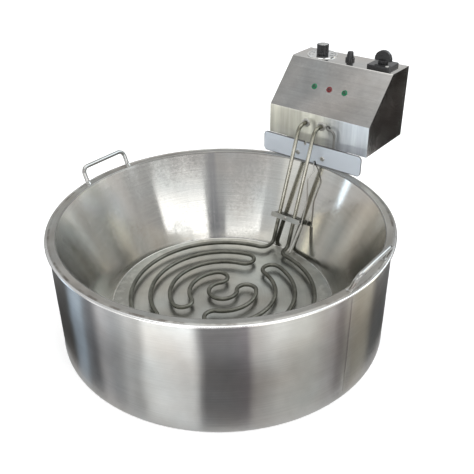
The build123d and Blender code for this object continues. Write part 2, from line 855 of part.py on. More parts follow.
# Terminal block and earth stud on the base plate
def terminal_block():
    body = Box(terminal_length, terminal_depth, terminal_height, align=standing)
    body = Pos(terminal_x, terminal_y, box_floor) * body
    way = Box(barrier_width, 2 * terminal_depth, terminal_height, align=standing)
    way += Cylinder(small_screw_radius + touch_gap, terminal_screw_length, align=hanging)
    for x in terminal_xs:
        body -= Pos(x, terminal_y, terminal_seat) * way
    return drilled(body, block_screws_at, small_screw_radius + touch_gap, 2 * terminal_height)


def terminal_screws():
    body = screw(terminal_screw_radius, terminal_screw_height, small_screw_radius, terminal_screw_length)
    return [Pos(x, terminal_y, terminal_seat) * body for x in terminal_xs]


def earth_stud():
    return post(earth_x, earth_y, box_floor, box_floor + earth_height, earth_radius)


def earth_nut():
    body = nut(earth_nut_flats, earth_nut_height, earth_radius + touch_gap)
    return Pos(earth_x, earth_y, box_floor) * body


# Leads inside the box: each starts on one terminal and ends on another, with a straight tail at each end
lead_seat = terminal_seat + lead_radius + touch_gap
lead_side = terminal_screw_radius + touch_gap
switch_bottom = box_ceiling - switch_height
thermostat_bottom = box_ceiling - thermostat_height
safety_bottom = box_ceiling - safety_height
terminal_front = terminal_y - terminal_depth / 2
terminal_rear = terminal_y + terminal_depth / 2


def lead(*points):
    return bent_rod(FilletPolyline(*points, radius=lead_bend), lead_radius)


def element_leads():
    stud_end = box_front + leg_inside + insulator_length + stud_length
    leads = []
    for x, way_x in zip((-left_reach, right_reach), terminal_xs):
        start = [(x, stud_end, leg_level), (x, stud_end + lead_tail, leg_level)]
        end = [(way_x, terminal_front - lead_tail, lead_seat), (way_x, terminal_y - lead_side, lead_seat)]
        leads.append(lead(*start, *end))
    return leads


def earth_lead():
    level = box_floor + lead_level
    side = earth_x + earth_radius + touch_gap
    middle_y = earth_y + lead_tail
    way_x = terminal_xs[-1]
    start = [(side, earth_y, level), (side + lead_tail, earth_y, level)]
    middle = [(side + 2 * lead_tail, middle_y, level), (way_x - lead_tail, middle_y, level)]
    end = [(way_x, terminal_front - lead_tail, lead_seat), (way_x, terminal_y - lead_side, lead_seat)]
    return lead(*start, *middle, *end)


# Two leads from the terminals up to the switch, one each from the switch and the reset to the
# thermostat, and one from each lamp to the switch
def control_leads():
    leads = []
    for step, way_x in zip((0, 1), terminal_xs[2:]):
        rear = terminal_rear + lead_tail - step * lead_bend
        x = selector_x + (2 * step - 1) * lead_tail
        start = [(way_x, terminal_y + lead_side, lead_seat), (way_x, rear, lead_seat)]
        leads.append(lead(*start, (x, rear, switch_bottom - 2 * lead_tail), (x, rear, switch_bottom)))
    for step, x, bottom in ((-1, selector_x - lead_tail, switch_bottom), (1, reset_x, safety_bottom)):
        y = control_line + step * lead_tail
        level = switch_bottom - lead_tail * (1 - step / 2)
        end_x = thermostat_x + lead_tail
        corners = [(x, y, level), (end_x, y, level)]
        leads.append(lead((x, y, bottom), *corners, (end_x, y, thermostat_bottom)))
    for step, plane in zip((-1, 0, 1), lamps_at):
        lamp_end = plane * Pos(0, 0, -lamp_spigot - lamp_body_length)
        bend = plane * Pos(0, 0, -lamp_spigot - lamp_body_length - lead_tail)
        x = selector_x - lead_tail + step * lead_spread
        y = control_line - switch_width / 2 + lead_bend
        top = [(x, y, switch_bottom - 2 * lead_tail), (x, y, switch_bottom)]
        leads.append(lead(lamp_end.position, bend.position, *top))
    return leads


# Cable gland low on the back cover
def gland_body():
    flange = extrude(RegularPolygon(gland_flange_flats, 6, major_radius=False), gland_flange_height)
    thread = Cylinder(gland_thread, gland_inside, align=hanging)
    return flange + thread - Cylinder(gland_bore, 2 * gland_inside + drill_reach)


def gland_cap():
    dome = Cone(gland_cap_radius, gland_cap_mouth, gland_cap_height, align=standing)
    dome -= Cylinder(gland_bore, 2 * gland_cap_height + drill_reach)
    return Pos(0, 0, gland_flange_height) * dome


def gland_locknut():
    seat = Pos(0, 0, -box_sheet - gland_nut_height)
    return seat * nut(gland_nut_flats, gland_nut_height, gland_thread + touch_gap)


os.makedirs("parts", exist_ok=True)
hanger_grip = 2 * hanger_sheet
base_grip = 2 * hanger_sheet + box_sheet
small_screw = screw(small_head_radius, small_head_height, small_screw_radius, small_screw_length)
block_screw = screw(small_head_radius, small_head_height, small_screw_radius, terminal_height + box_sheet)
lenses = copies(lamp_lens(), lamps_at)

save("outer_skirt", outer_skirt())
save("rim_ring", rim_ring())
save("bowl_cone", bowl_cone())
save("bowl_floor", bowl_floor())
save("left_handle", handle(-1))
save("right_handle", handle(1))

save("heating_element", heating_element())
save("element_ferrules", *copies(element_ferrule(), ferrules_at))
save("element_nuts", *copies(element_nut(), ferrules_at))
save("element_insulators", *copies(element_insulator(), ferrules_at))
save("element_studs", *copies(element_stud(), ferrules_at))
save("clip_front_strip", clip_strip(-1))
save("clip_rear_strip", clip_strip(1))
save("clip_screw", clip_screw())
save("clip_nut", clip_nut())

save("hanger_plate", hanger_plate())
save("hanger_angle", hanger_angle())
save("rear_stay", rear_stay())
save("hanger_bolts", *copies(bolt(hanger_grip), hanger_bolts_at))
save("hanger_nuts", *copies(bolt_nut(hanger_grip), hanger_bolts_at))
save("base_bolts", *copies(bolt(base_grip), base_bolts_at))
save("base_nuts", *copies(bolt_nut(base_grip), base_bolts_at))

save("box_wrap", box_wrap())
save("left_side_panel", side_panel(-1))
save("right_side_panel", side_panel(1))
save("back_cover", back_cover())
save("base_plate", base_plate())
save("cover_screws", *copies(small_screw, cover_screws_at))
save("base_screws", *copies(small_screw, base_screws_at))

save("thermostat_body", thermostat_body())
save("thermostat_probe", thermostat_probe())
save("capillary_grommet", *copies(capillary_grommet(), grommet_at))
save("dial_disc", dial_disc())
save("thermostat_nut", thermostat_nut())
save("thermostat_shaft", thermostat_shaft())
save("thermostat_knob", knob())
save("knob_cap", knob_cap())

save("safety_body", safety_body())
save("reset_collar", reset_collar())
save("reset_button", reset_button())

save("switch_body", switch_body())
save("selector_plate", selector_plate())
save("selector_screws", *selector_screws())
save("selector_shaft", selector_shaft())
save("selector_handle", selector_handle())

save("green_lenses", lenses[0], lenses[2])
save("red_lens", lenses[1])
save("lamp_bodies", *copies(lamp_body(), lamps_at))
save("lamp_nuts", *copies(lamp_nut(), lamps_at))

save("terminal_block", terminal_block())
save("terminal_screws", *terminal_screws())
save("block_screws", *copies(block_screw, block_screws_at))
save("earth_stud", earth_stud())
save("earth_nut", earth_nut())
save("element_leads", *element_leads())
save("earth_lead", earth_lead())
save("control_leads", *control_leads())
save("gland_body", *copies(gland_body(), gland_at))
save("gland_cap", *copies(gland_cap(), gland_at))
save("gland_locknut", *copies(gland_locknut(), gland_at))
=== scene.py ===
import math
import bpy
import numpy as np
from mathutils import Matrix, Vector


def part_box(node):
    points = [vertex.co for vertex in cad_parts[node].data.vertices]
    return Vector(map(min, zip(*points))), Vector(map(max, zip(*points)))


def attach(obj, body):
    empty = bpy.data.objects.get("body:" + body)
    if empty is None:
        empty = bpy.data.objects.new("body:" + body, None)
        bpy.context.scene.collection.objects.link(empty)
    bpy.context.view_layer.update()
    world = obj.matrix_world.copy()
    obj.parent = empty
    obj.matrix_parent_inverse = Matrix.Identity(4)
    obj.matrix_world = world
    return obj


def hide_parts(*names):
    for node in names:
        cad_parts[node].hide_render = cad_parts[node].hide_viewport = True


# Churro fryer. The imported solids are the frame; the pieces that show get finer surfaces here.
# Metres in Blender, millimetres in the piece dictionaries, +Y towards the control head.
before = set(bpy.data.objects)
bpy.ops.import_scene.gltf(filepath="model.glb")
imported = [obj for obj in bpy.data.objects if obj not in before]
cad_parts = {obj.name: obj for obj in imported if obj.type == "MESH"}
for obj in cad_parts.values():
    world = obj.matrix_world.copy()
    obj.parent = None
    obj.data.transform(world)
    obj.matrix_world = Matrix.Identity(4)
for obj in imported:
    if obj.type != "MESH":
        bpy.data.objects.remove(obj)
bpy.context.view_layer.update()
scene = bpy.context.scene
scene.view_settings.view_transform = "Standard"
mm = 0.001
creaseAngle = 38  # edges that turn by more degrees than this stay sharp
materials = {}


# Mesh helpers

def corners(node):  # lowest and highest corner of a solid, in millimetres
    low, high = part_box(node)
    return np.array(low) / mm, np.array(high) / mm


def roundSolid(node):  # foot, radius and height of a round solid that stands upright
    low, high = corners(node)
    return np.append((low[:2] + high[:2]) / 2, low[2]), (high[0] - low[0]) / 2, high[2] - low[2]


def gridFaces(rows, cols, closedRows):
    # quads of a grid whose columns close on themselves, and their map:
    # U along the rows, V along the columns
    i, j = np.meshgrid(np.arange(rows - 1 + closedRows), np.arange(cols), indexing="ij")
    steps = ((0, 0), (0, 1), (1, 1), (1, 0))
    faces = [(i + a) % rows * cols + (j + b) % cols for a, b in steps]
    maps = [np.stack([(i + a) / rows, (j + b) / cols], axis=-1) for a, b in steps]
    return np.stack(faces, axis=-1).reshape(-1, 4), np.stack(maps, axis=-2).reshape(-1, 4, 2)


def endFan(first, cols, middle, u):
    # triangles from the ring of points that starts at first to one middle point
    j = np.arange(cols)
    faces = np.stack([first + j, first + (j + 1) % cols, np.full(cols, middle)], axis=-1)
    maps = np.stack([np.stack([np.full(cols, u), (j + k) / cols], axis=-1) for k in (0, 1, 0.5)], axis=-2)
    return faces, maps


def turnOut(points, groups):
    # the volume that the faces enclose is made positive, so that they point outwards
    middle = points.mean(axis=0)
    volume = 0
    for faces, _ in groups:
        for k in range(1, faces.shape[1] - 1):
            a, b, c = (points[faces[:, n]] - middle for n in (0, k, k + 1))
            volume += np.sum(a * np.cross(b, c))
    if volume < 0:
        groups = [(faces[:, ::-1], maps[:, ::-1]) for faces, maps in groups]
    return points, groups


def skin(grid, closedRows):
    # a grid of points as a closed patch; open rows are shut by a fan at each end
    rows, cols = grid.shape[:2]
    points = grid.reshape(-1, 3)
    groups = [gridFaces(rows, cols, closedRows)]
    if not closedRows:
        points = np.vstack([points, grid[0].mean(axis=0), grid[-1].mean(axis=0)])
        low, lowMap = endFan(0, cols, rows * cols, 0)
        groups.append((low[:, ::-1], lowMap[:, ::-1]))
        groups.append(endFan((rows - 1) * cols, cols, rows * cols + 1, 1))
    return turnOut(points, groups)


def makePiece(name, body, slot, shapes, node=None, closedRows=False):
    # grids and ready patches, in millimetres, become one smooth mesh that rides on a body
    start = 0
    points, corner, sizes, maps = [], [], [], []
    for shape in shapes:
        spots, groups = skin(shape, closedRows) if isinstance(shape, np.ndarray) else shape
        points.append(spots)
        for faces, faceMap in groups:
            corner.append((faces + start).ravel())
            sizes.append(np.full(len(faces), faces.shape[1]))
            maps.append(faceMap.reshape(-1, 2))
        start += len(spots)
    points, corner, sizes, maps = (np.concatenate(part) for part in (points, corner, sizes, maps))
    mesh = bpy.data.meshes.new(name)
    mesh.vertices.add(len(points))
    mesh.vertices.foreach_set("co", (points * mm).astype(np.float32).ravel())
    mesh.loops.add(len(corner))
    mesh.loops.foreach_set("vertex_index", corner.astype(np.int32))
    mesh.polygons.add(len(sizes))
    mesh.polygons.foreach_set("loop_start", np.concatenate([[0], np.cumsum(sizes)[:-1]]).astype(np.int32))
    mesh.polygons.foreach_set("use_smooth", np.ones(len(sizes), dtype=bool))
    mesh.update(calc_edges=True)
    layer = mesh.uv_layers.new(name="along")
    layer.uv.foreach_set("vector", maps.astype(np.float32).ravel())
    mesh.set_sharp_from_angle(angle=math.radians(creaseAngle))
    mesh.materials.append(materials[slot])
    piece = bpy.data.objects.new(name, mesh)
    scene.collection.objects.link(piece)
    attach(piece, body)
    if node:
        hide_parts(node)


def ringAngles(count):
    return np.linspace(0, 2 * math.pi, count, endpoint=False)


def fromSeam(a, seamAt, radius):  # distance along the sheet from a seam, in millimetres
    return np.angle(np.exp(1j * (a - math.radians(seamAt)))) * radius


def seamAngles(count, seamAt, radius, reach=24.0, step=0.7):
    # even columns, with closer ones on both sides of a seam, in radians
    near = math.radians(seamAt) + np.arange(-reach, reach, step) / radius
    far = ringAngles(count)
    far = far[np.abs(fromSeam(far, seamAt, radius)) > reach + 1]
    return np.sort(np.mod(np.concatenate([near, far]), 2 * math.pi))


def roundAxis(r, a, h):  # points at a radius, an angle and a height
    r, a, h = np.broadcast_arrays(r, a, h)
    return np.stack([r * np.cos(a), r * np.sin(a), h], axis=-1)


def spun(profile, turns, centre=(0, 0, 0)):
    # a profile of radius and height carried round an upright axis
    r, h = np.asarray(profile, float).T
    a = ringAngles(turns) if isinstance(turns, int) else turns
    return roundAxis(r[:, None], a[None, :], h[:, None]) + np.asarray(centre, float)


def stand(grid, place, outwards):
    # a grid drawn about +Z is stood at a place with its Z pointing outwards and its X kept level
    z = np.asarray(outwards, float) / np.linalg.norm(outwards)
    x = np.array((1.0, 0.0, 0.0))
    return grid @ np.array((x, np.cross(z, x), z)) + np.asarray(place, float)


def roundedLine(points, radii, step=1.5):
    # straight runs joined by arcs: each corner is cut back by its radius times the tangent of half the turn
    points = np.asarray(points, float)
    runs = [points[:1]]
    for before, corner, after, radius in zip(points[:-2], points[1:-1], points[2:], radii):
        inward = (before - corner) / np.linalg.norm(before - corner)
        onward = (after - corner) / np.linalg.norm(after - corner)
        turn = math.pi - math.acos(np.clip(inward @ onward, -1, 1))
        middle = (inward + onward) / np.linalg.norm(inward + onward)
        centre = corner + middle * radius / math.cos(turn / 2)
        first = corner + inward * radius * math.tan(turn / 2) - centre
        a = np.linspace(0, turn, max(5, int(radius * turn / step)))[:, None]
        runs.append(centre + first * np.cos(a) - inward * radius * np.sin(a))
    runs.append(points[-1:])
    return np.concatenate(runs)


def pipe(path, radius, sides, reference):
    # a circle carried along a path: its first axis is the reference crossed with the path's direction
    ahead = np.gradient(path, axis=0)
    ahead /= np.linalg.norm(ahead, axis=1, keepdims=True)
    across = np.cross(np.asarray(reference, float), ahead)
    across /= np.linalg.norm(across, axis=1, keepdims=True)
    upward = np.cross(ahead, across)
    a = ringAngles(sides)[None, :, None]
    radius = np.broadcast_to(np.asarray(radius, float), (len(path),))[:, None, None]
    return path[:, None, :] + radius * (np.cos(a) * across[:, None, :] + np.sin(a) * upward[:, None, :])


def arcPoints(centre, radius, first, last, count):
    # points on an arc of a profile, angles in degrees
    a = np.radians(np.linspace(first, last, count))
    return np.stack([centre[0] + radius * np.cos(a), centre[1] + radius * np.sin(a)], axis=-1)


def edgeArc(radius, top, bend, first, last, count):
    # an arc that rounds the outer upper corner of a profile
    return arcPoints((radius - bend, top - bend), bend, first, last, count)


def profileLine(r, h):  # points of a profile; a single radius or height holds for all of them
    return np.column_stack(np.broadcast_arrays(r, h))


def smoothStep(value, low, high):
    t = np.clip((value - low) / (high - low), 0, 1)
    return t * t * (3 - 2 * t)


def hump(off, width):  # 1 in the middle, falling away smoothly over a width
    return np.exp(-(off / width) ** 2)


def ripples(h, pitch):  # 0 to 1 and back once in each pitch
    return 0.5 - 0.5 * np.cos(2 * math.pi * h / pitch)


def dents(a, h, waves, depth):
    # hand-made unevenness from 0 to depth: the mean of a few crossing cosine waves
    total = sum(np.cos(n * a + h / k + phase) for n, k, phase in waves)
    return depth * (0.5 + 0.5 * total / len(waves))


# Material helpers

paint = {"tree": None}  # the node tree that the helpers below add to


def newMaterial(name):
    materials[name] = bpy.data.materials.new(name)
    materials[name].use_nodes = True
    paint["tree"] = materials[name].node_tree
    paint["tree"].nodes.clear()


def closeMaterial(shader):
    output = paint["tree"].nodes.new("ShaderNodeOutputMaterial")
    paint["tree"].links.new(shader, output.inputs[0])


def socket(kind, inputs=None, output=0, **traits):
    # a new node with its traits set and its inputs set or linked; gives one of its outputs
    node = paint["tree"].nodes.new("ShaderNode" + kind)
    for key, value in traits.items():
        setattr(node, key, value)
    for key, value in (inputs or {}).items():
        entry = node.inputs[key]
        if isinstance(value, bpy.types.NodeSocket):
            paint["tree"].links.new(value, entry)
        else:
            entry.default_value = (*value, 1.0) if entry.type == "RGBA" else value
    return node.outputs[output]


def calc(kind, a, b=0.0):
    return socket("Math", {0: a, 1: b}, operation=kind)


def times(a, b):
    return calc("MULTIPLY", a, b)


def plus(a, b):
    return calc("ADD", a, b)


def apart(a, b):  # how far two numbers are from each other
    return calc("ABSOLUTE", calc("SUBTRACT", a, b))


def vector(kind, a, b=(0, 0, 0), output="Vector"):
    return socket("VectorMath", {0: a, 1: b}, output, operation=kind)


def objectSpot():
    return socket("TexCoord", output="Object")


def axes(spot):  # the X, Y and Z of a point
    return socket("SeparateXYZ", {0: spot}).node.outputs


def noise(spot, scale, detail=3.0, roughness=0.5):
    inputs = {"Vector": spot, "Scale": scale, "Detail": detail, "Roughness": roughness}
    return socket("TexNoise", inputs, "Fac")


def span(value, low, high, fromLow=0.3, fromHigh=0.7, **traits):
    # a number between two limits carried over to two others; noise lies mostly from 0.3 to 0.7
    return socket("MapRange", {0: value, 1: fromLow, 2: fromHigh, 3: low, 4: high}, **traits)


def blendColour(share, first, second, kind="MIX"):
    return socket("Mix", {0: share, 6: first, 7: second}, 2, data_type="RGBA", blend_type=kind)


def bumped(strength, depth, height):
    return socket("Bump", {"Strength": strength, "Distance": depth, "Height": height})


def fromAxis(spot):  # distance from the pan's upright axis
    return vector("LENGTH", vector("MULTIPLY", spot, (1, 1, 0)), output="Value")


def towards(spot, angle):  # how far a point reaches towards an angle round the axis
    a = math.radians(angle)
    return vector("DOT_PRODUCT", spot, (math.cos(a), math.sin(a), 0), "Value")


def facing(spot, angle):  # 1 on the side at an angle round the axis, -1 on the far side
    return calc("DIVIDE", towards(spot, angle), fromAxis(spot))


def grainSpot(kind, stretch, sideFrom=0.7):
    # coordinates for a grain: round the axis, level along each upright face, or plain,
    # stretched to the grain's shape
    spot = objectSpot()
    if kind == "round":
        x, y, z = axes(spot)
        r = fromAxis(spot)
        level = [times(calc("DIVIDE", way, r), stretch[0]) for way in (x, y)]
        lift = plus(times(r, stretch[1]), times(z, stretch[2]))
        return socket("CombineXYZ", {0: level[0], 1: level[1], 2: lift})
    flat = socket("Mapping", {"Vector": spot, "Scale": stretch})
    if kind == "plain":
        return flat
    turned = socket("Mapping", {"Vector": spot, "Scale": (stretch[1], stretch[0], stretch[2])})
    sideways = calc("ABSOLUTE", axes(socket("NewGeometry", output="True Normal"))[0])
    share = calc("GREATER_THAN", sideways, sideFrom)
    return socket("Mix", {0: share, 4: flat, 5: turned}, 1, data_type="VECTOR")


# detail and roughness of each noise, sizes as multiples of a look's smudge, and what they change
brushSet = {
    "lines": (4.0, 0.65), "broad": (3.0, 0.55), "specks": (2.0, 0.6), "drift": (2.0, 0.5),
    "stains": (4.0, 0.6), "reflectionStreaks": (3.0, 0.6), "speckTimes": 14, "driftTimes": 0.6, "depth": 0.0004,
    "lineShade": (0.86, 1.08), "speckRough": (-0.03, 0.04), "warm": (1.0, 0.965, 0.93),
    "cool": (0.95, 0.985, 1.0),
}


def steel(name, look):
    # brushed metal: fine stretched noise for the brush lines, broad noise for warm and cool smudges
    b = brushSet
    look = {**steelBase, **look}
    newMaterial(name)
    spot = objectSpot()
    lines = noise(grainSpot(look["grain"], look["stretch"]), 1.0, *b["lines"])
    if "flow" in look:  # smudges that follow the sheet round the axis
        broad = noise(grainSpot("round", look["flow"]), 1.0, *b["broad"])
    else:
        broad = noise(spot, look["smudge"], *b["broad"])
    specks = noise(spot, look["smudge"] * b["speckTimes"], *b["specks"])
    drift = noise(spot, look["smudge"] * b["driftTimes"], *b["drift"])
    colour = blendColour(span(broad, 0, 1), look["dark"], look["light"])
    tint = blendColour(span(drift, 0, 1), b["warm"], b["cool"])
    colour = blendColour(1.0, colour, tint, "MULTIPLY")
    colour = blendColour(look["lineShow"], colour, span(lines, *b["lineShade"]), "MULTIPLY")
    rough = plus(span(broad, *look["rough"]), span(specks, *b["speckRough"]))
    metal = look["metal"]
    if "dull" in look:  # less gloss on the side away from an angle
        s = look["dull"]
        rough = plus(rough, span(facing(spot, s["away"]), s["rough"], 0, *s["from"]))
    if "stain" in look:  # blotches in a ring
        s = look["stain"]
        share = span(noise(spot, s["size"], *b["stains"]), 0, s["show"], *s["from"])
        share = times(share, span(apart(fromAxis(spot), s["ring"]), 1, 0, *s["reach"]))
        colour = blendColour(share, colour, s["colour"])
        rough = plus(rough, times(share, s["rough"]))
    if "polish" in look:  # the outer part, smoother, with a painted highlight towards an angle
        s = look["polish"]
        share = span(fromAxis(spot), 0, 1, *s["from"])
        share = times(share, span(facing(spot, s["front"]), 0, 1, *s["spread"]))
        colour = blendColour(share, colour, s["colour"])
        rough = times(rough, span(share, 1, s["rough"], 0, 1))
    if "lip" in look:  # painted shade: the upper edge is painted dark
        s = look["lip"]
        share = span(axes(spot)[2], 0, s["show"], *s["from"])
        colour = blendColour(share, colour, s["colour"])
    if "band" in look:  # a grey stripe along the seam
        s = look["band"]
        wander = plus(towards(spot, s["at"] + 90), span(broad, -s["wander"], s["wander"]))
        share = span(calc("ABSOLUTE", wander), s["show"], 0, *s["reach"])
        share = times(share, span(towards(spot, s["at"]), 0, 1, *s["side"]))
        colour = blendColour(share, colour, s["colour"])
    if "paintedReflection" in look:  # painted reflection on the faces in front of a depth, on some with painted streaks that run down
        s = look["paintedReflection"]
        x, y, _ = axes(spot)
        share = span(y, 1, 0, *s["before"])
        reflectionColour = s["colour"]
        if "right" in s:
            reflectionColour = blendColour(span(x, 0, 1, *s["turn"]), reflectionColour, s["right"])
            # painted streaks that run down the painted reflection
            reflectionStreaks = noise(grainSpot("plain", s["streak"]), 1.0, *b["reflectionStreaks"])
            reflectionColour = blendColour(1.0, reflectionColour, span(reflectionStreaks, *s["shade"]), "MULTIPLY")
        colour = blendColour(share, colour, reflectionColour)
        metal = span(share, 1, s["metal"], 0, 1)
    if "edge" in look:
        # painted shade: a dark line just inside a rounded outline, by how far a point is past the inner
        # rectangle
        s = look["edge"]
        folded = vector("ABSOLUTE", vector("SUBTRACT", spot, s["middle"]))
        past = vector("MAXIMUM", vector("SUBTRACT", folded, s["inner"]))
        reach = vector("LENGTH", past, output="Value")
        reach = plus(reach, span(broad, -s["wander"], s["wander"]))
        share = span(reach, 0, s["show"], *s["from"])
        share = times(share, span(axes(spot)[1], 1, 0, *s["before"]))
        colour = blendColour(share, colour, s["colour"])
    height = plus(lines, times(broad, look["wave"]))
    inputs = {"Base Color": colour, "Metallic": metal, "Roughness": rough, "Anisotropic": look["aniso"],
              "Normal": bumped(look["bump"], b["depth"], height)}
    if look["aniso"] > 0:  # the sheet's own map runs round it, as the brush did
        inputs["Tangent"] = socket("Tangent", direction_type="UV_MAP", uv_map="along")
    closeMaterial(socket("BsdfPrincipled", inputs))


mouldSet = {"grain": (3.0, 0.6), "grainRough": (-0.04, 0.05), "depth": 0.0003}


def moulded(name, look):
    # plastic, rubber and ceramic: fine grain bump, faint colour drift and scuffs that change the gloss
    newMaterial(name)
    spot = objectSpot()
    grain = noise(spot, look["grain"], *mouldSet["grain"])
    broad = noise(spot, look["drift"])
    colour = blendColour(span(broad, 0, 1), look["dark"], look["light"])
    rough = plus(span(broad, *look["rough"]), span(grain, *mouldSet["grainRough"]))
    bump = bumped(look["bump"], mouldSet["depth"], grain)
    inputs = {"Base Color": colour, "Roughness": rough, "Normal": bump}
    closeMaterial(socket("BsdfPrincipled", inputs))


def heatedSteel(name, look):
    # the element's tube: dark and mottled where it heats, paler up the legs, with painted shade on the
    # upper bends
    newMaterial(name)
    spot = objectSpot()
    mottle = noise(spot, look["mottle"], *look["mottleDetail"])
    scale = noise(spot, look["scale"], *look["scaleDetail"])
    wander = times(calc("SUBTRACT", mottle, 0.5), look["drift"])
    height = plus(axes(spot)[2], wander)
    share = span(height, 0, 1, *look["cleanFrom"])
    mixed = span(mottle, 0, 1)
    hot = blendColour(mixed, look["dark"], look["light"])
    clean = blendColour(mixed, look["cleanDark"], look["cleanLight"])
    # painted shade: the upper bends are painted darker
    clean = blendColour(span(height, 0, look["paintedBendShadeShow"], *look["paintedBendShadeFrom"]), clean, look["paintedBendShade"])
    rough = plus(span(share, *look["rough"], 0, 1), span(scale, *look["scaleRough"]))
    inputs = {"Base Color": blendColour(share, hot, clean), "Metallic": 1.0, "Roughness": rough,
              "Normal": bumped(look["bump"], look["depth"], scale)}
    closeMaterial(socket("BsdfPrincipled", inputs))


def lensPlastic(name, look):
    # coloured lens: a dark middle and a paler flange by the piece's own map, and a clear coat
    newMaterial(name)
    outwards = axes(socket("UVMap", uv_map="along"))[0]
    cloud = noise(objectSpot(), look["cloud"])
    share = span(plus(outwards, times(cloud, look["wander"])), 0, 1, *look["edge"])
    inputs = {"Base Color": blendColour(share, look["dark"], look["light"]), "IOR": look["ior"],
              "Roughness": span(cloud, *look["rough"]), "Coat Weight": look["coat"][0],
              "Coat Roughness": look["coat"][1]}
    closeMaterial(socket("BsdfPrincipled", inputs))


elementLooks = {
    "element_steel": {
        "mottle": 60, "mottleDetail": (4.0, 0.6), "scale": 700, "scaleDetail": (3.0, 0.55),
        "drift": 0.05, "dark": (0.095, 0.095, 0.08), "light": (0.18, 0.18, 0.155),
        "cleanFrom": (0.075, 0.13), "cleanDark": (0.40, 0.385, 0.33), "cleanLight": (0.55, 0.535, 0.47),
        # the upper bends' darker colour is painted shade
        "paintedBendShade": (0.17, 0.165, 0.125), "paintedBendShadeFrom": (0.24, 0.275), "paintedBendShadeShow": 0.8, "rough": (0.37, 0.17),
        "scaleRough": (-0.05, 0.06), "bump": 0.03, "depth": 0.0003,
    },
}
lensBase = {
    "cloud": 500, "wander": 0.08, "edge": (0.45, 0.75), "rough": (0.16, 0.28), "ior": 1.49,
    "coat": (0.4, 0.08),
}
lensLooks = {
    "green_lens": {**lensBase, "dark": (0.003, 0.045, 0.018), "light": (0.012, 0.17, 0.075)},
    "red_lens": {**lensBase, "dark": (0.055, 0.003, 0.004), "light": (0.18, 0.012, 0.015)},
}
steelBase = {
    "grain": "plain", "stretch": (300, 300, 300), "lineShow": 0.5, "rough": (0.31, 0.40), "wave": 0.5,
    "bump": 0.06, "aniso": 0.0, "metal": 1.0,
}
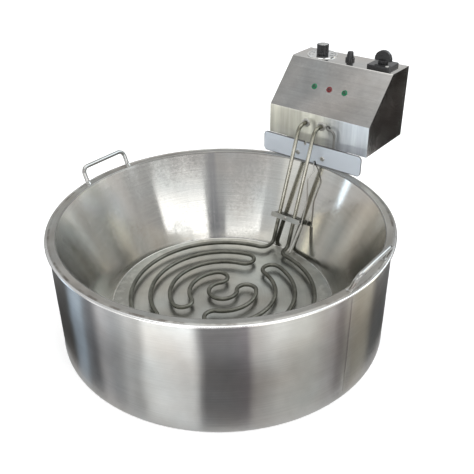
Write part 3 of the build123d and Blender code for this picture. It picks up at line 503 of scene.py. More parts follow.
steelLooks = {
    "pan_steel": {
        "grain": "round", "stretch": (2.2, 0, 900), "smudge": 14, "dark": (0.49, 0.485, 0.475),
        "light": (0.65, 0.65, 0.645), "lineShow": 0.8, "wave": 0.6, "aniso": 0.95,
    },
    "rim_steel": {
        "grain": "round", "stretch": (2.2, 300, 300), "smudge": 16, "dark": (0.31, 0.30, 0.28),
        "light": (0.44, 0.435, 0.415), "rough": (0.34, 0.46), "bump": 0.008,
        "stain": {
            "size": 45, "show": 0.75, "from": (0.46, 0.66), "colour": (0.12, 0.10, 0.085), "rough": 0.1,
            "ring": 0.2938, "reach": (0.0013, 0.0026),
        },
        # painted highlight: the bead is painted bright and made smoother on the side towards the camera
        "polish": {
            "from": (0.2949, 0.2957), "colour": (0.84, 0.84, 0.83), "rough": 0.45, "front": -50.0,
            "spread": (0.05, 0.5),
        },
    },
    "bowl_steel": {
        "grain": "round", "stretch": (2.0, 0, 800), "smudge": 13, "dark": (0.60, 0.585, 0.555),
        "light": (0.70, 0.69, 0.66), "lineShow": 0.7, "rough": (0.10, 0.14), "wave": 0.6, "bump": 0.03,
        "aniso": 0.4, "flow": (6, 0, 5),
        "dull": {"away": 115.0, "from": (0.3, 0.65), "rough": 0.09},
        # painted shade: the top edge of the wall is painted dark
        "lip": {"from": (0.2076, 0.2086), "show": 0.85, "colour": (0.27, 0.265, 0.25)},
        "band": {
            "at": 133.8, "reach": (0.0048, 0.016), "wander": 0.008, "side": (0.0, 0.1), "show": 0.5,
            "colour": (0.33, 0.33, 0.34),
        },
    },
    "floor_steel": {
        "grain": "round", "stretch": (2.0, 500, 0), "smudge": 16, "dark": (0.34, 0.34, 0.315),
        "light": (0.48, 0.48, 0.45), "rough": (0.31, 0.38), "wave": 0.6, "bump": 0.015,
        "stain": {
            "size": 70, "show": 0.5, "from": (0.48, 0.66), "colour": (0.62, 0.62, 0.58), "rough": 0.05,
            "ring": 0.192, "reach": (0.012, 0.024),
        },
    },
    "handle_steel": {
        "smudge": 20, "dark": (0.42, 0.415, 0.405), "light": (0.52, 0.52, 0.51), "lineShow": 0.4,
        "rough": (0.13, 0.19), "wave": 0.6, "bump": 0.012,
    },
    "clip_steel": {
        "grain": "level", "stretch": (12, 900, 900), "smudge": 25, "dark": (0.44, 0.43, 0.41),
        "light": (0.56, 0.56, 0.54), "lineShow": 0.6, "bump": 0.08,
    },
    "hanger_steel": {
        "grain": "level", "stretch": (6, 800, 800), "smudge": 16, "dark": (0.42, 0.425, 0.43),
        "light": (0.52, 0.525, 0.53), "lineShow": 0.6, "rough": (0.38, 0.50), "bump": 0.02,
        # painted reflection: the front face is painted pale blue
        "paintedReflection": {"before": (0.2845, 0.2849), "colour": (0.77, 0.835, 0.92), "metal": 0.45},
        # painted shade: a dark line inside the outline of the front face
        "edge": {
            "middle": (0, 0.286, 0.231), "inner": (0.106, 1.0, 0.013), "wander": 0.00072,
            "from": (0.0062, 0.00728), "before": (0.2875, 0.2877), "show": 0.85,
            "colour": (0.10, 0.10, 0.105),
        },
    },
    "box_steel": {
        "grain": "level", "stretch": (5, 420, 420), "smudge": 14, "dark": (0.59, 0.575, 0.555),
        "light": (0.70, 0.688, 0.67), "rough": (0.13, 0.19), "bump": 0.01,
        # painted reflection: the front face is painted cream, turning pale blue to the right, with streaks
        "paintedReflection": {
            "before": (0.3050, 0.3054), "colour": (0.76, 0.755, 0.67), "metal": 0.5,
            "right": (0.68, 0.725, 0.78), "turn": (0.0, 0.06), "streak": (55, 0, 5),
            "shade": (0.72, 1.16),
        },
    },
    "fastener_steel": {
        "stretch": (400, 400, 400), "smudge": 60, "dark": (0.50, 0.495, 0.48),
        "light": (0.64, 0.635, 0.62), "metal": 0.85, "bump": 0.08,
    },
    "brass": {
        "stretch": (400, 400, 400), "smudge": 60, "dark": (0.46, 0.32, 0.12),
        "light": (0.66, 0.50, 0.22), "bump": 0.08,
    },
    "probe_metal": {"smudge": 40, "dark": (0.46, 0.45, 0.42), "light": (0.62, 0.61, 0.58)},
    "dial_metal": {
        "grain": "level", "stretch": (20, 900, 900), "smudge": 30, "dark": (0.78, 0.78, 0.77),
        "light": (0.87, 0.87, 0.86), "lineShow": 0.6, "rough": (0.14, 0.20), "wave": 0.4,
    },
    "cap_metal": {
        "smudge": 60, "dark": (0.56, 0.56, 0.55), "light": (0.70, 0.70, 0.69), "rough": (0.13, 0.20),
        "wave": 0.4,
    },
}
mouldedLooks = {
    "ceramic": {
        "grain": 900, "drift": 60, "dark": (0.66, 0.63, 0.56), "light": (0.76, 0.74, 0.68),
        "rough": (0.45, 0.60), "bump": 0.15,
    },
    "black_plastic": {
        "grain": 1400, "drift": 40, "dark": (0.010, 0.010, 0.011), "light": (0.024, 0.024, 0.025),
        "rough": (0.12, 0.20), "bump": 0.05,
    },
    "body_plastic": {
        "grain": 1200, "drift": 40, "dark": (0.035, 0.034, 0.033), "light": (0.06, 0.059, 0.057),
        "rough": (0.42, 0.56), "bump": 0.15,
    },
    "rubber": {
        "grain": 1600, "drift": 60, "dark": (0.07, 0.07, 0.065), "light": (0.11, 0.11, 0.10),
        "rough": (0.55, 0.70), "bump": 0.2,
    },
    "lead_cover": {
        "grain": 1200, "drift": 60, "dark": (0.12, 0.12, 0.11), "light": (0.20, 0.20, 0.19),
        "rough": (0.45, 0.58), "bump": 0.12,
    },
}
for finish, looks in ((steel, steelLooks), (moulded, mouldedLooks), (lensPlastic, lensLooks),
                      (heatedSteel, elementLooks)):
    for slotName, slotLook in looks.items():
        finish(slotName, slotLook)
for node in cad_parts.values():
    for slot in node.material_slots:
        slot.material = materials[slot.material.name.split(".")[0]]
print("materials made:", len(materials))


# Pan

skirtSet = {
    "sheet": 1.5, "hem": 14.0, "bend": 4.0, "bendPoints": 7, "rows": 56, "turns": 420, "calm": 16.0,
    "dent": 1.2,
    "waves": (
        (5, 90, 0.4), (9, -40, 1.7), (14, 26, 2.9), (19, -22, 0.2), (23, 18, 4.1), (12, -60, 5.2),
    ),
    "seamAt": -10.0, "lap": 0.9, "lapRun": 12.0, "lapEdge": (-0.5, 0.9), "weld": 0.5, "weldWidth": 1.6,
    "kink": 3.6, "kinkAt": (6.0, 34.0), "kinkSize": (6.5, 22.0),
}


def makeSkirt():
    # an upright sheet ring with a rounded hem turned inwards; between rim and hem, dents push it inwards,
    # it dips towards a lapped seam on one side, and a kink is pressed in beside the seam
    s = skirtSet
    radius, _, top = corners("outer_skirt")[1]
    hemEdge = radius - s["hem"]
    bendMiddle = (radius - s["bend"], s["bend"])
    outerBend = arcPoints(bendMiddle, s["bend"], -90, 0, s["bendPoints"])
    innerBend = arcPoints(bendMiddle, s["bend"] - s["sheet"], 0, -90, s["bendPoints"])
    levels = np.linspace(s["bend"], top, s["rows"])[1:]
    profile = np.vstack([(hemEdge, 0), outerBend, profileLine(radius, levels),
                         profileLine(radius - s["sheet"], levels[::-1]), innerBend, (hemEdge, s["sheet"])])
    turns = seamAngles(s["turns"], s["seamAt"], radius)
    grid = spun(profile, turns)
    a, h = turns[None, :], profile[:, 1:2]
    calm = smoothStep(h, s["bend"], s["calm"]) * smoothStep(top - h, 0, s["calm"])
    off = fromSeam(a, s["seamAt"], radius)
    lap = s["lap"] * np.exp(np.minimum(off, 0) / s["lapRun"]) * (1 - smoothStep(off, *s["lapEdge"]))
    weld = s["weld"] * hump(off, s["weldWidth"])
    kink = hump(off - s["kinkAt"][0], s["kinkSize"][0]) * hump(h - s["kinkAt"][1], s["kinkSize"][1])
    change = calm * (weld - lap - s["kink"] * kink - dents(a, h, s["waves"], s["dent"]))
    grid[..., :2] *= 1 + (change / profile[:, 0:1])[..., None]
    makePiece("pan_skirt", "pan", "pan_steel", [grid], "outer_skirt", True)


rimSet = {
    "sheet": 2.0, "bead": 2.4, "beadFrom": 142.0, "beadPoints": 26, "ledgeEnd": 7.4, "ledgePoints": 6,
    "grooveIn": (0.8, 0.2), "grooveOut": (0.5, 0.15), "turns": 360,
}


def makeRim():
    # the flat ledge, a shallow groove, and the round bead that its outer edge is rolled into
    s = rimSet
    radius, _, top = corners("rim_ring")[1]
    coneEdge = corners("bowl_cone")[1][0]
    meet = math.degrees(math.asin((s["bead"] - s["sheet"]) / s["bead"]))
    bead = edgeArc(radius, top, s["bead"], s["beadFrom"], -180 - meet, s["beadPoints"])
    ledge = profileLine(np.linspace(coneEdge, radius - s["ledgeEnd"], s["ledgePoints"]), top)
    grooveIn = (ledge[-1][0] + s["grooveIn"][0], top - s["grooveIn"][1])
    profile = np.vstack([ledge, grooveIn, bead[0] - s["grooveOut"], bead, (coneEdge, top - s["sheet"])])
    makePiece("pan_rim", "pan", "rim_steel", [spun(profile, s["turns"])], "rim_ring", True)


coneSet = {
    "mouth": 282.0, "foot": 204.0, "fillet": 1.2, "filletPoints": 9, "lip": 1.5, "lipPoints": 7,
    "rows": 48, "backRows": 12, "turns": 400, "calm": (4.0, 24.0), "dent": 0.2,
    "waves": ((4, 70, 1.1), (7, -40, 0.3), (11, 30, 2.2), (15, -24, 3.3)), "seamAt": 133.8,
    "seamWidth": 2.0, "seamHeight": 0.09,
}


def makeCone():
    # a sheet cone with a rounded lip at the mouth and a weld fillet at the floor;
    # its inside has shallow dents and a raised seam
    s = coneSet
    low, high = corners("bowl_cone")
    tilt = math.degrees(math.atan2(high[2] - low[2], s["mouth"] - s["foot"]))
    cut = math.tan(math.radians(tilt / 2))
    footMiddle = (s["foot"] - s["fillet"] * cut, low[2] + s["fillet"])
    foot = arcPoints(footMiddle, s["fillet"], -90, tilt - 90, s["filletPoints"])
    lipMiddle = (s["mouth"] + s["lip"] * cut, high[2] - s["lip"])
    lip = arcPoints(lipMiddle, s["lip"], tilt + 90, 90, s["lipPoints"])
    wall = np.linspace(foot[-1], lip[0], s["rows"])[1:-1]
    back = np.linspace((high[0], high[2]), (s["foot"] + high[0] - s["mouth"], low[2]), s["backRows"])
    profile = np.vstack([foot, wall, lip, back])
    turns = seamAngles(s["turns"], s["seamAt"], s["mouth"])
    grid = spun(profile, turns)
    a, h = turns[None, :], profile[:, 1:2]
    inside = np.arange(len(profile))[:, None] < len(foot) + len(wall)
    calm = inside * smoothStep(h - low[2], *s["calm"]) * smoothStep(high[2] - h, *s["calm"])
    seam = s["seamHeight"] * hump(fromSeam(a, s["seamAt"], s["mouth"]), s["seamWidth"])
    lift = calm * (seam + dents(a, h, s["waves"], s["dent"]))
    grid[..., :2] *= 1 - (lift / profile[:, 0:1])[..., None]
    makePiece("bowl_wall", "pan", "bowl_steel", [grid], "bowl_cone", True)


floorSet = {
    "rows": 46, "turns": 240, "hub": 3.0, "edge": (8.0, 3.0), "calm": 40.0, "dent": 0.5,
    "waves": ((2, 60, 0.4), (3, -35, 1.9), (5, 30, 0.8), (0, 22, 2.0)),
}


def makeFloor():
    # a round sheet whose top is a little uneven
    s = floorSet
    low, high = corners("bowl_floor")
    edge = high[0] - s["edge"][0]
    radii = np.concatenate([np.linspace(s["hub"], edge, s["rows"]), [high[0] - s["edge"][1], high[0]]])
    grid = spun(np.vstack([profileLine(radii, high[2]), profileLine(radii[::-1], low[2])]), s["turns"])
    r = radii[:, None]
    calm = smoothStep(r, 0, s["calm"]) * smoothStep(high[0] - r, s["edge"][0], s["calm"])
    grid[: len(radii), :, 2] -= calm * dents(ringAngles(s["turns"])[None, :], r, s["waves"], s["dent"])
    makePiece("bowl_base", "pan", "floor_steel", [grid], "bowl_floor")


handleSet = {
    "span": 104.0, "rise": 30.0, "lean": 12.0, "rod": 4.0, "bend": 12.0, "sunk": 2.5, "flare": 2.2,
    "flareHeight": 2.4, "sides": 28, "legRows": 14, "footRows": 7,
}


def makeHandle(side, name):
    # a bent rod on the ledge; its radius grows towards the feet where it is welded on
    s = handleSet
    radius, _, top = corners("rim_ring")[1]
    ledge = (corners("bowl_cone")[1][0] + radius - 2 * rimSet["bead"]) / 2
    half = s["span"] / 2
    seat = math.sqrt(ledge ** 2 - half ** 2)
    foot = np.array((seat - s["lean"] * s["sunk"] / s["rise"], -half, top - s["sunk"]))
    bend = np.array((seat + s["lean"], -half, top + s["rise"]))
    mirror = np.array((1, -1, 1))
    path = roundedLine([foot, bend, bend * mirror, foot * mirror], [s["bend"], s["bend"]])
    leg = np.linspace(foot, bend, s["legRows"])[: s["footRows"]]
    path = np.vstack([leg, path[1:-1], (leg * mirror)[::-1]]) * (side, 1, 1)
    above = np.maximum(path[:, 2] - top, 0)
    rod = s["rod"] + s["flare"] * np.exp(-above / s["flareHeight"])
    grid = pipe(path, rod, s["sides"], (s["rise"] * side, 0, -s["lean"]))
    makePiece(name + "_rod", "pan", "handle_steel", [grid], name)


makeSkirt()
makeRim()
makeCone()
makeFloor()
makeHandle(-1, "left_handle")
makeHandle(1, "right_handle")
print("pan made")


# Heating element

elementSet = {
    "radius": 4.0, "level": 54.0, "outer": 170.0, "inner": 26.0, "gaps": (42.0, 15.0, 20.0, 16.0),
    "reaches": (25.0, 11.0), "joinBend": 18.0, "footBend": 12.0, "topBend": 18.0, "footY": 197.7,
    "shoulderY": 278.5, "legLevel": 284.0, "endY": 324.5, "step": 2.5, "legStep": 1.2, "sides": 24,
    "leastStep": 0.01, "leastPoints": 4,
}


def ringArc(centre, radius, first, sweep):
    count = max(elementSet["leastPoints"], int(math.radians(abs(sweep)) * radius / elementSet["step"]))
    flat = arcPoints(centre, radius, first, first + sweep, count)
    return np.column_stack([flat, np.full(len(flat), elementSet["level"])])


def elementHalf(reach):
    # from the box down the leg, then ring arcs about the axis joined by half-circle turns, front and back
    s = elementSet
    pitch = (s["outer"] - s["inner"]) / len(s["gaps"])
    turnRadius = pitch / 2
    joinX = -reach - s["joinBend"]
    joinY = math.sqrt((s["outer"] + s["joinBend"]) ** 2 - joinX ** 2)
    leg = [(-reach, s["endY"], s["legLevel"]), (-reach, s["shoulderY"], s["legLevel"]),
           (-reach, s["footY"], s["level"]), (-reach, joinY, s["level"])]
    runs = [roundedLine(leg, [s["topBend"], s["footBend"]], s["legStep"])]
    angle = math.degrees(math.atan2(joinY, joinX))
    runs.append(ringArc((joinX, joinY), s["joinBend"], 0, angle - 180))
    ring, turn = s["outer"], 1
    for gap in s["gaps"]:
        middle = ring - turnRadius
        spread = math.degrees(math.asin((gap + turnRadius) / middle))
        stop = 270 - spread if turn > 0 else 90 + spread
        centre = (middle * math.cos(math.radians(stop)), middle * math.sin(math.radians(stop)))
        runs.append(ringArc((0, 0), ring, angle, stop - angle))
        runs.append(ringArc(centre, turnRadius, stop, 180 * turn))
        ring, angle, turn = ring - pitch, stop, -turn
    runs.append(ringArc((0, 0), ring, angle, 270 - angle))
    return np.concatenate(runs)


def makeElement():
    # the left half and the mirrored right half as one path, without doubled points, carried as a tube
    s = elementSet
    left, right = (elementHalf(reach) for reach in s["reaches"])
    path = np.concatenate([left, (right * (-1, 1, 1))[::-1]])
    keep = np.append(True, np.linalg.norm(np.diff(path, axis=0), axis=1) > s["leastStep"])
    tube = pipe(path[keep], s["radius"], s["sides"], (0, 0, 1))
    makePiece("element_tube", "head", "element_steel", [tube], "heating_element")


makeElement()
print("heating element made")


# Control head: small pieces

frontOut, backOut, upOut, downOut = (0, -1, 0), (0, 1, 0), (0, 0, 1), (0, 0, -1)
boxLow, boxHigh = corners("box_wrap")
screwSet = {
    "turns": 48, "hub": 0.03, "flat": 0.45, "flatPoints": 12, "shoulder": 0.35, "domePoints": 9,
    "recess": 0.55, "recessReach": 0.56, "recessWidth": 0.17, "recessEdge": (0.75, 1.05), "pitch": 0.9,
    "perPitch": 4, "leastRows": 8, "thread": 0.16,
}


def screwGrid(headRadius, headHeight, shankRadius, shankLength):
    # pan head with a cross recess, shank with thread ripples; drawn about +Z with its seat at 0
    s = screwSet
    bow = arcPoints((0, 0), 1.0, 90, 0, s["domePoints"])[1:]
    dome = profileLine(headRadius * (s["flat"] + (1 - s["flat"]) * bow[:, 0]),
                       headHeight * (s["shoulder"] + (1 - s["shoulder"]) * bow[:, 1]))
    flat = profileLine(headRadius * np.linspace(s["hub"], s["flat"], s["flatPoints"]), headHeight)
    rows = max(s["leastRows"], int(s["perPitch"] * shankLength / s["pitch"]))
    depth = np.linspace(0, -shankLength, rows)
    shank = profileLine(shankRadius - s["thread"] * ripples(depth, s["pitch"]), depth)
    grid = spun(np.vstack([flat, dome, (headRadius, 0), shank]), s["turns"])
    x, y = np.abs(grid[..., 0]) / headRadius, np.abs(grid[..., 1]) / headRadius
    arm = np.minimum(np.maximum(x / s["recessReach"], y / s["recessWidth"]),
                     np.maximum(y / s["recessReach"], x / s["recessWidth"]))
    sunk = headHeight * s["recess"] * (1 - smoothStep(arm, *s["recessEdge"]))
    sunk[len(flat) + len(dome):] = 0
    grid[..., 2] -= sunk
    return grid


nutSet = {
    "turns": 96, "levels": (0, 0.06, 0.16, 0.5, 0.84, 0.94, 1.0), "endFace": 0.97, "coneSlope": 1.9,
}


def hexRadius(a, flats):
    # distance from the axis to a hexagon's side, for the half distance across its flats
    turn = math.pi / 3
    return flats / np.cos(np.mod(a, turn) - turn / 2)


def nutGrid(flats, height, bore):
    # a hexagon whose corners are cut by a cone at the top and bottom, with a bored hole
    s = nutSet
    a = ringAngles(s["turns"])[None, :]
    h = np.array(s["levels"])[:, None] * height
    cone = flats * s["endFace"] + np.minimum(h, height - h) * s["coneSlope"]
    outer = np.minimum(hexRadius(a, flats), cone)
    r = np.vstack([outer, np.full((2, s["turns"]), bore)])
    return roundAxis(r, a, np.append(h, (height, 0))[:, None])


# a head is its radius and height, its shank's radius and length; a nut is half its width, height and bore
fastenerSet = {
    "hangerHead": (5.0, 3.0, 3.0, 12.0), "hangerX": 29.0, "hangerUp": 16.0,
    "baseHead": (5.0, 3.0, 3.0, 13.2), "baseX": 40.0, "baseBack": 25.0, "baseDrop": 6.0,
    "sheetHead": (3.6, 2.0, 1.9, 7.0), "sheetX": 106.8, "sheetInset": 15.0,
    "plateHead": (3.6, 2.0, 1.9, 16.0), "plateAt": (74.0, 417.5), "plateReach": 17.5, "plateUp": 6.5,
    "nut": (5.0, 5.0, 3.05), "angle": 3.0,
}


def makeFasteners():
    # one screw or nut for each kind, stood at every seat of that kind
    s = fastenerSet
    plateLow, plateHigh = corners("hanger_plate")
    inLow, inHigh = boxLow + s["sheetInset"], boxHigh - s["sheetInset"]
    pair = (-1, 1)
    hanger = [(k * s["hangerX"], plateLow[1], plateLow[2] + s["hangerUp"]) for k in pair]
    base = [(k * s["baseX"], boxLow[1] + s["baseBack"], boxLow[2] - s["baseDrop"]) for k in pair]
    cover = [(k * s["sheetX"], boxHigh[1], z) for k in pair for z in (inLow[2], inHigh[2])]
    under = [(k * s["sheetX"], y, boxLow[2]) for k in pair for y in (inLow[1], inHigh[1])]
    x, y = s["plateAt"]
    plate = [(x + k * s["plateReach"], y - k * s["plateReach"], boxHigh[2] + s["plateUp"]) for k in pair]
    rows = (("hanger", "bolts", "hangerHead", frontOut, hanger),
            ("base", "bolts", "baseHead", downOut, base),
            ("cover", "screws", "sheetHead", backOut, cover),
            ("base", "screws", "sheetHead", downOut, under),
            ("selector", "screws", "plateHead", upOut, plate))
    for place, kind, head, out, seats in rows:
        grid = screwGrid(*s[head])
        makePiece(place + "." + kind, "head", "fastener_steel", [stand(grid, seat, out) for seat in seats],
                  place + "_" + kind)
    nut = nutGrid(*s["nut"])
    seats = [(x, plateHigh[1] + s["angle"], z) for x, _, z in hanger]
    makePiece("hanger.nuts", "head", "fastener_steel", [stand(nut, seat, backOut) for seat in seats],
              "hanger_nuts", True)


clipSet = {"head": (3.5, 2.4, 2.0, 15.3), "nut": (3.5, 3.2, 2.05), "grip": 12.1}


def makeClip():
    # the screw and nut that pull the two strips together across the legs, square to the legs' slope
    s, legs = clipSet, elementSet
    middle = sum(corners("clip_front_strip") + corners("clip_rear_strip")) / 4
    lean = np.array((0, legs["legLevel"] - legs["level"], legs["footY"] - legs["shoulderY"]))
    lean /= np.linalg.norm(lean)
    screw = stand(screwGrid(*s["head"]), middle - lean * s["grip"] / 2, -lean)
    nut = stand(nutGrid(*s["nut"]), middle + lean * s["grip"] / 2, lean)
    makePiece("clip.screw", "head", "fastener_steel", [screw], "clip_screw")
    makePiece("clip.nut", "head", "fastener_steel", [nut], "clip_nut", True)


ferruleSet = {
    "flange": 8.5, "height": 2.5, "edge": 0.7, "edgePoints": 6, "collar": 0.6, "collarPoints": 5,
    "sleeve": 6.0, "inside": 12.0, "bore": 4.05, "turns": 64,
}


def makeFerrules():
    # a flanged sleeve on each end of the element, with a small collar at the tube and a rounded rim
    s = ferruleSet
    rim = edgeArc(s["flange"], s["height"], s["edge"], 90, 0, s["edgePoints"])
    collar = arcPoints((s["bore"] + 2 * s["collar"], s["height"]), s["collar"], 180, 90, s["collarPoints"])
    profile = np.vstack([(s["bore"], -s["inside"]), (s["bore"], s["height"]), collar, rim, (s["flange"], 0),
                         (s["sleeve"], 0), (s["sleeve"], -s["inside"])])
    grid = spun(profile, s["turns"])
    left, right = elementSet["reaches"]
    seats = [(x, boxLow[1], elementSet["legLevel"]) for x in (-left, right)]
    makePiece("element.ferrules", "head", "fastener_steel", [stand(grid, seat, frontOut) for seat in seats],
              "element_ferrules", True)


sleeveSet = {
    "radius": 2.6, "sides": 20, "proud": 0.1, "shoulder": 7.0, "turn": 11.5, "end": 232.0, "run": 45.3,
    "back": 296.0, "step": 1.0,
}


def makeSleeve():
    # dark sleeve on the capillary, from the grommet round and down behind the hanger plate
    s = sleeveSet
    low, high = corners("capillary_grommet")
    x, _, z = (low + high) / 2
    route = [(x, low[1] + s["proud"], z), (x, s["back"], z),
             (s["run"], s["back"], z), (s["run"], s["back"], s["end"])]
    path = roundedLine(route, [s["shoulder"], s["turn"]], s["step"])
    makePiece("capillary.sleeve", "head", "lead_cover", [pipe(path, s["radius"], s["sides"], (1, 1, 1))])


barSet = {"endPoints": 6, "inset": 0.08, "shoulder": 0.7}


def slab(outline, insets, heights):
    # a flat outline stacked in rings, each drawn in from the edge by an inset, at a height
    ahead = np.roll(outline, -1, axis=0) - np.roll(outline, 1, axis=0)
    ahead /= np.linalg.norm(ahead, axis=1, keepdims=True)
    inward = np.column_stack([-ahead[:, 1], ahead[:, 0]])
    return np.stack([np.insert(outline + e * inward, 2, h, axis=1) for e, h in zip(insets, heights)])


def bar(width, length, height, outer):
    # a low bar with rounded ends along X, whose far end is at an outer distance from the axis
    half, count = width / 2, barSet["endPoints"]
    far = arcPoints((length - half, 0), half, -90, 90, count)
    near = arcPoints((half, 0), half, 90, 270, count)
    heights = (0, height * barSet["shoulder"], height)
    grid = slab(np.vstack([far, near]), (0, 0, barSet["inset"]), heights)
    return grid + (outer - length, 0, 0)


def turnFlat(grid, angle, centre):
    # turned about Z by an angle in degrees, and moved
    c, s = math.cos(math.radians(angle)), math.sin(math.radians(angle))
    return grid @ np.array(((c, s, 0), (-s, c, 0), (0, 0, 1))) + np.asarray(centre, float)


knobSet = {
    "flutes": 14, "flute": 1.6, "perFlute": 22, "edge": 0.8, "edgePoints": 6, "foot": 0.5,
    "sideRows": 6, "recess": 9.5, "recessHeight": 4.1, "bore": 3.05, "boreDepth": 14.0, "capSeat": 0.8,
    "seatGap": (0.1, 0.05), "hub": 1.0, "zeroAt": 225.0,
}
capSet = {
    "radius": 10.0, "height": 1.2, "edge": 0.3, "edgePoints": 5, "edgeFrom": 80.0, "rows": 60,
    "hub": 0.4, "rings": 9, "ringDepth": 0.05, "ringsTo": 0.94, "turns": 96, "pointer": (0.9, 7.0, 0.2),
    "pointerIn": 1.0, "pointerSunk": 0.08,
}


def flutedRadius(a, radius, count, flute):
    # where a ray from the axis first meets the circle of the nearest flute
    off = np.angle(np.exp(1j * a * count)) / count
    centre = radius + flute / 2
    inside = flute ** 2 - (centre * np.sin(off)) ** 2
    cut = centre * np.cos(off) - np.sqrt(np.maximum(inside, 0))
    return np.where(inside > 0, np.minimum(radius, cut), radius)


def makeKnob():
    # fluted grip with a recess underneath and a shallow seat on top
    s, cap = knobSet, capSet["radius"]
    foot, radius, top = roundSolid("thermostat_knob")
    seat = top - s["capSeat"]
    edge = edgeArc(radius, top, s["edge"], 0, 90, s["edgePoints"])
    side = np.linspace(2 * s["foot"], top - s["edge"] - s["foot"], s["sideRows"])
    under = [(s["bore"], s["boreDepth"]), (s["bore"], s["recessHeight"]), (s["recess"], s["recessHeight"]),
             (s["recess"], 0), (radius - s["foot"], 0), (radius, s["foot"])]
    above = [(cap + s["seatGap"][0], top), (cap + s["seatGap"][1], seat), (cap / 2, seat), (s["hub"], seat)]
    profile = np.vstack([under, profileLine(radius, side), edge, above])
    turns = s["flutes"] * s["perFlute"]
    fluted = flutedRadius(ringAngles(turns), radius, s["flutes"], s["flute"])[None, :]
    r = np.minimum(profile[:, 0:1], fluted)
    grid = spun(profile, turns)
    grid[..., :2] *= (r / profile[:, 0:1])[..., None]
    makePiece("knob.grip", "knob", "black_plastic", [grid + foot], "thermostat_knob")


def makeCap():
    # a bright disc with spun rings, and a dark pointer that points to zero at rest
    s = capSet
    foot, _, height = roundSolid("knob_cap")
    foot[:2] = roundSolid("thermostat_knob")[0][:2]
    r = np.linspace(s["hub"], s["radius"] - s["edge"], s["rows"])
    groove = 2 * s["ringDepth"] * ripples(r * s["rings"], s["radius"]) * (r < s["radius"] * s["ringsTo"])
    edge = edgeArc(s["radius"], s["height"], s["edge"], s["edgeFrom"], 0, s["edgePoints"])
    profile = np.vstack([profileLine(r, s["height"] - groove), edge,
                         (s["radius"], 0), (s["radius"] / 2, 0), (s["hub"], 0)])
    makePiece("knob.cap", "knob", "cap_metal", [spun(profile, s["turns"], foot)], "knob_cap")
    mark = bar(*s["pointer"], s["radius"] - s["pointerIn"])
    place = foot + (0, 0, height - s["pointerSunk"])
    makePiece("knob.pointer", "knob", "black_plastic", [turnFlat(mark, knobSet["zeroAt"], place)])


dialSet = {
    "bore": 5.2, "edge": 0.5, "edgeRound": 0.15, "rimWidth": 2.2, "rimSlope": 0.3, "rimDrop": 0.05,
    "sunk": 0.25, "faceIn": 1.0, "faceRows": 8, "turns": 128, "ticks": 31, "longEvery": 5, "sweep": 270.0,
    "tick": (0.5, 2.6, 0.2), "longTick": (0.7, 4.2, 0.2), "tickReach": 28.4, "tickSunk": 0.02,
    "numbers": ("0", "50", "100", "150", "200", "250", "300"), "numbersAt": 20.4, "numberSize": 4.6,
    "numberHeight": 0.1, "numberUp": 0.08, "numberSteps": 4,
}


def numberPatch(words, size, height, centre):
    # plain figures, turned from text into triangles
    data = bpy.data.curves.new("figures", "FONT")
    data.body, data.size, data.extrude = words, size, height
    data.align_x, data.align_y = "CENTER", "CENTER"
    data.resolution_u = dialSet["numberSteps"]
    text = bpy.data.objects.new("figures", data)
    scene.collection.objects.link(text)
    mesh = bpy.data.meshes.new_from_object(text.evaluated_get(bpy.context.evaluated_depsgraph_get()))
    mesh.calc_loop_triangles()
    points = np.zeros(len(mesh.vertices) * 3, np.float32)
    mesh.vertices.foreach_get("co", points)
    faces = np.zeros(len(mesh.loop_triangles) * 3, np.int32)
    mesh.loop_triangles.foreach_get("vertices", faces)
    bpy.data.objects.remove(text)
    bpy.data.meshes.remove(mesh)
    bpy.data.curves.remove(data)
    faces = faces.reshape(-1, 3)
    return points.reshape(-1, 3).astype(float) + centre, [(faces, np.zeros((len(faces), 3, 2)))]


def dialAngles(count):  # even steps from zero to the end of the scale, in degrees
    return knobSet["zeroAt"] - np.linspace(0, dialSet["sweep"], count)


def makeDial():
    # a disc with a slightly sunk face, and the scale on it: short and long ticks, and numbers inside
    # the long ones
    s = dialSet
    foot, radius, top = roundSolid("dial_disc")
    face = top - s["sunk"]
    rim = radius - s["rimWidth"]
    edge, slope = s["edgeRound"], s["rimSlope"]
    profile = [(s["bore"], 0), (radius, 0), (radius, top - s["edge"]), (radius - edge, top - edge),
               (radius - s["edge"], top), (rim + slope, top), (rim, top - s["rimDrop"]),
               (rim - slope, face)]
    profile += [(r, face) for r in np.linspace(rim - s["faceIn"], s["bore"], s["faceRows"])]
    makePiece("dial.plate", "head", "dial_metal", [spun(profile, s["turns"], foot)], "dial_disc", True)
    shapes = []
    for index, angle in enumerate(dialAngles(s["ticks"])):
        mark = bar(*(s["longTick"] if index % s["longEvery"] == 0 else s["tick"]), s["tickReach"])
        shapes.append(turnFlat(mark, angle, foot + (0, 0, face - s["tickSunk"])))
    for words, angle in zip(s["numbers"], dialAngles(len(s["numbers"]))):
        place = turnFlat(np.array((s["numbersAt"], 0, face + s["numberUp"])), angle, foot)
        shapes.append(numberPatch(words, s["numberSize"], s["numberHeight"], place))
    makePiece("dial.scale", "head", "black_plastic", shapes)


collarSet = {
    "radius": 9.5, "height": 5.5, "round": 1.4, "roundPoints": 7, "web": 1.0, "wall": 1.8, "neck": 6.05,
    "mouth": (0.2, 0.05, 0.25), "turns": 72,
}
buttonSet = {
    "stem": 4.0, "stemDepth": 14.0, "overlap": 0.2, "base": 7.4, "baseEdge": 0.3, "tip": 6.0,
    "tipRound": 1.5, "tipFrom": 5.0, "tipPoints": 7, "dish": 0.5, "dishReach": 4.4,
    "dishTo": (4.3, 0.4), "dishRows": 8, "turns": 72,
}


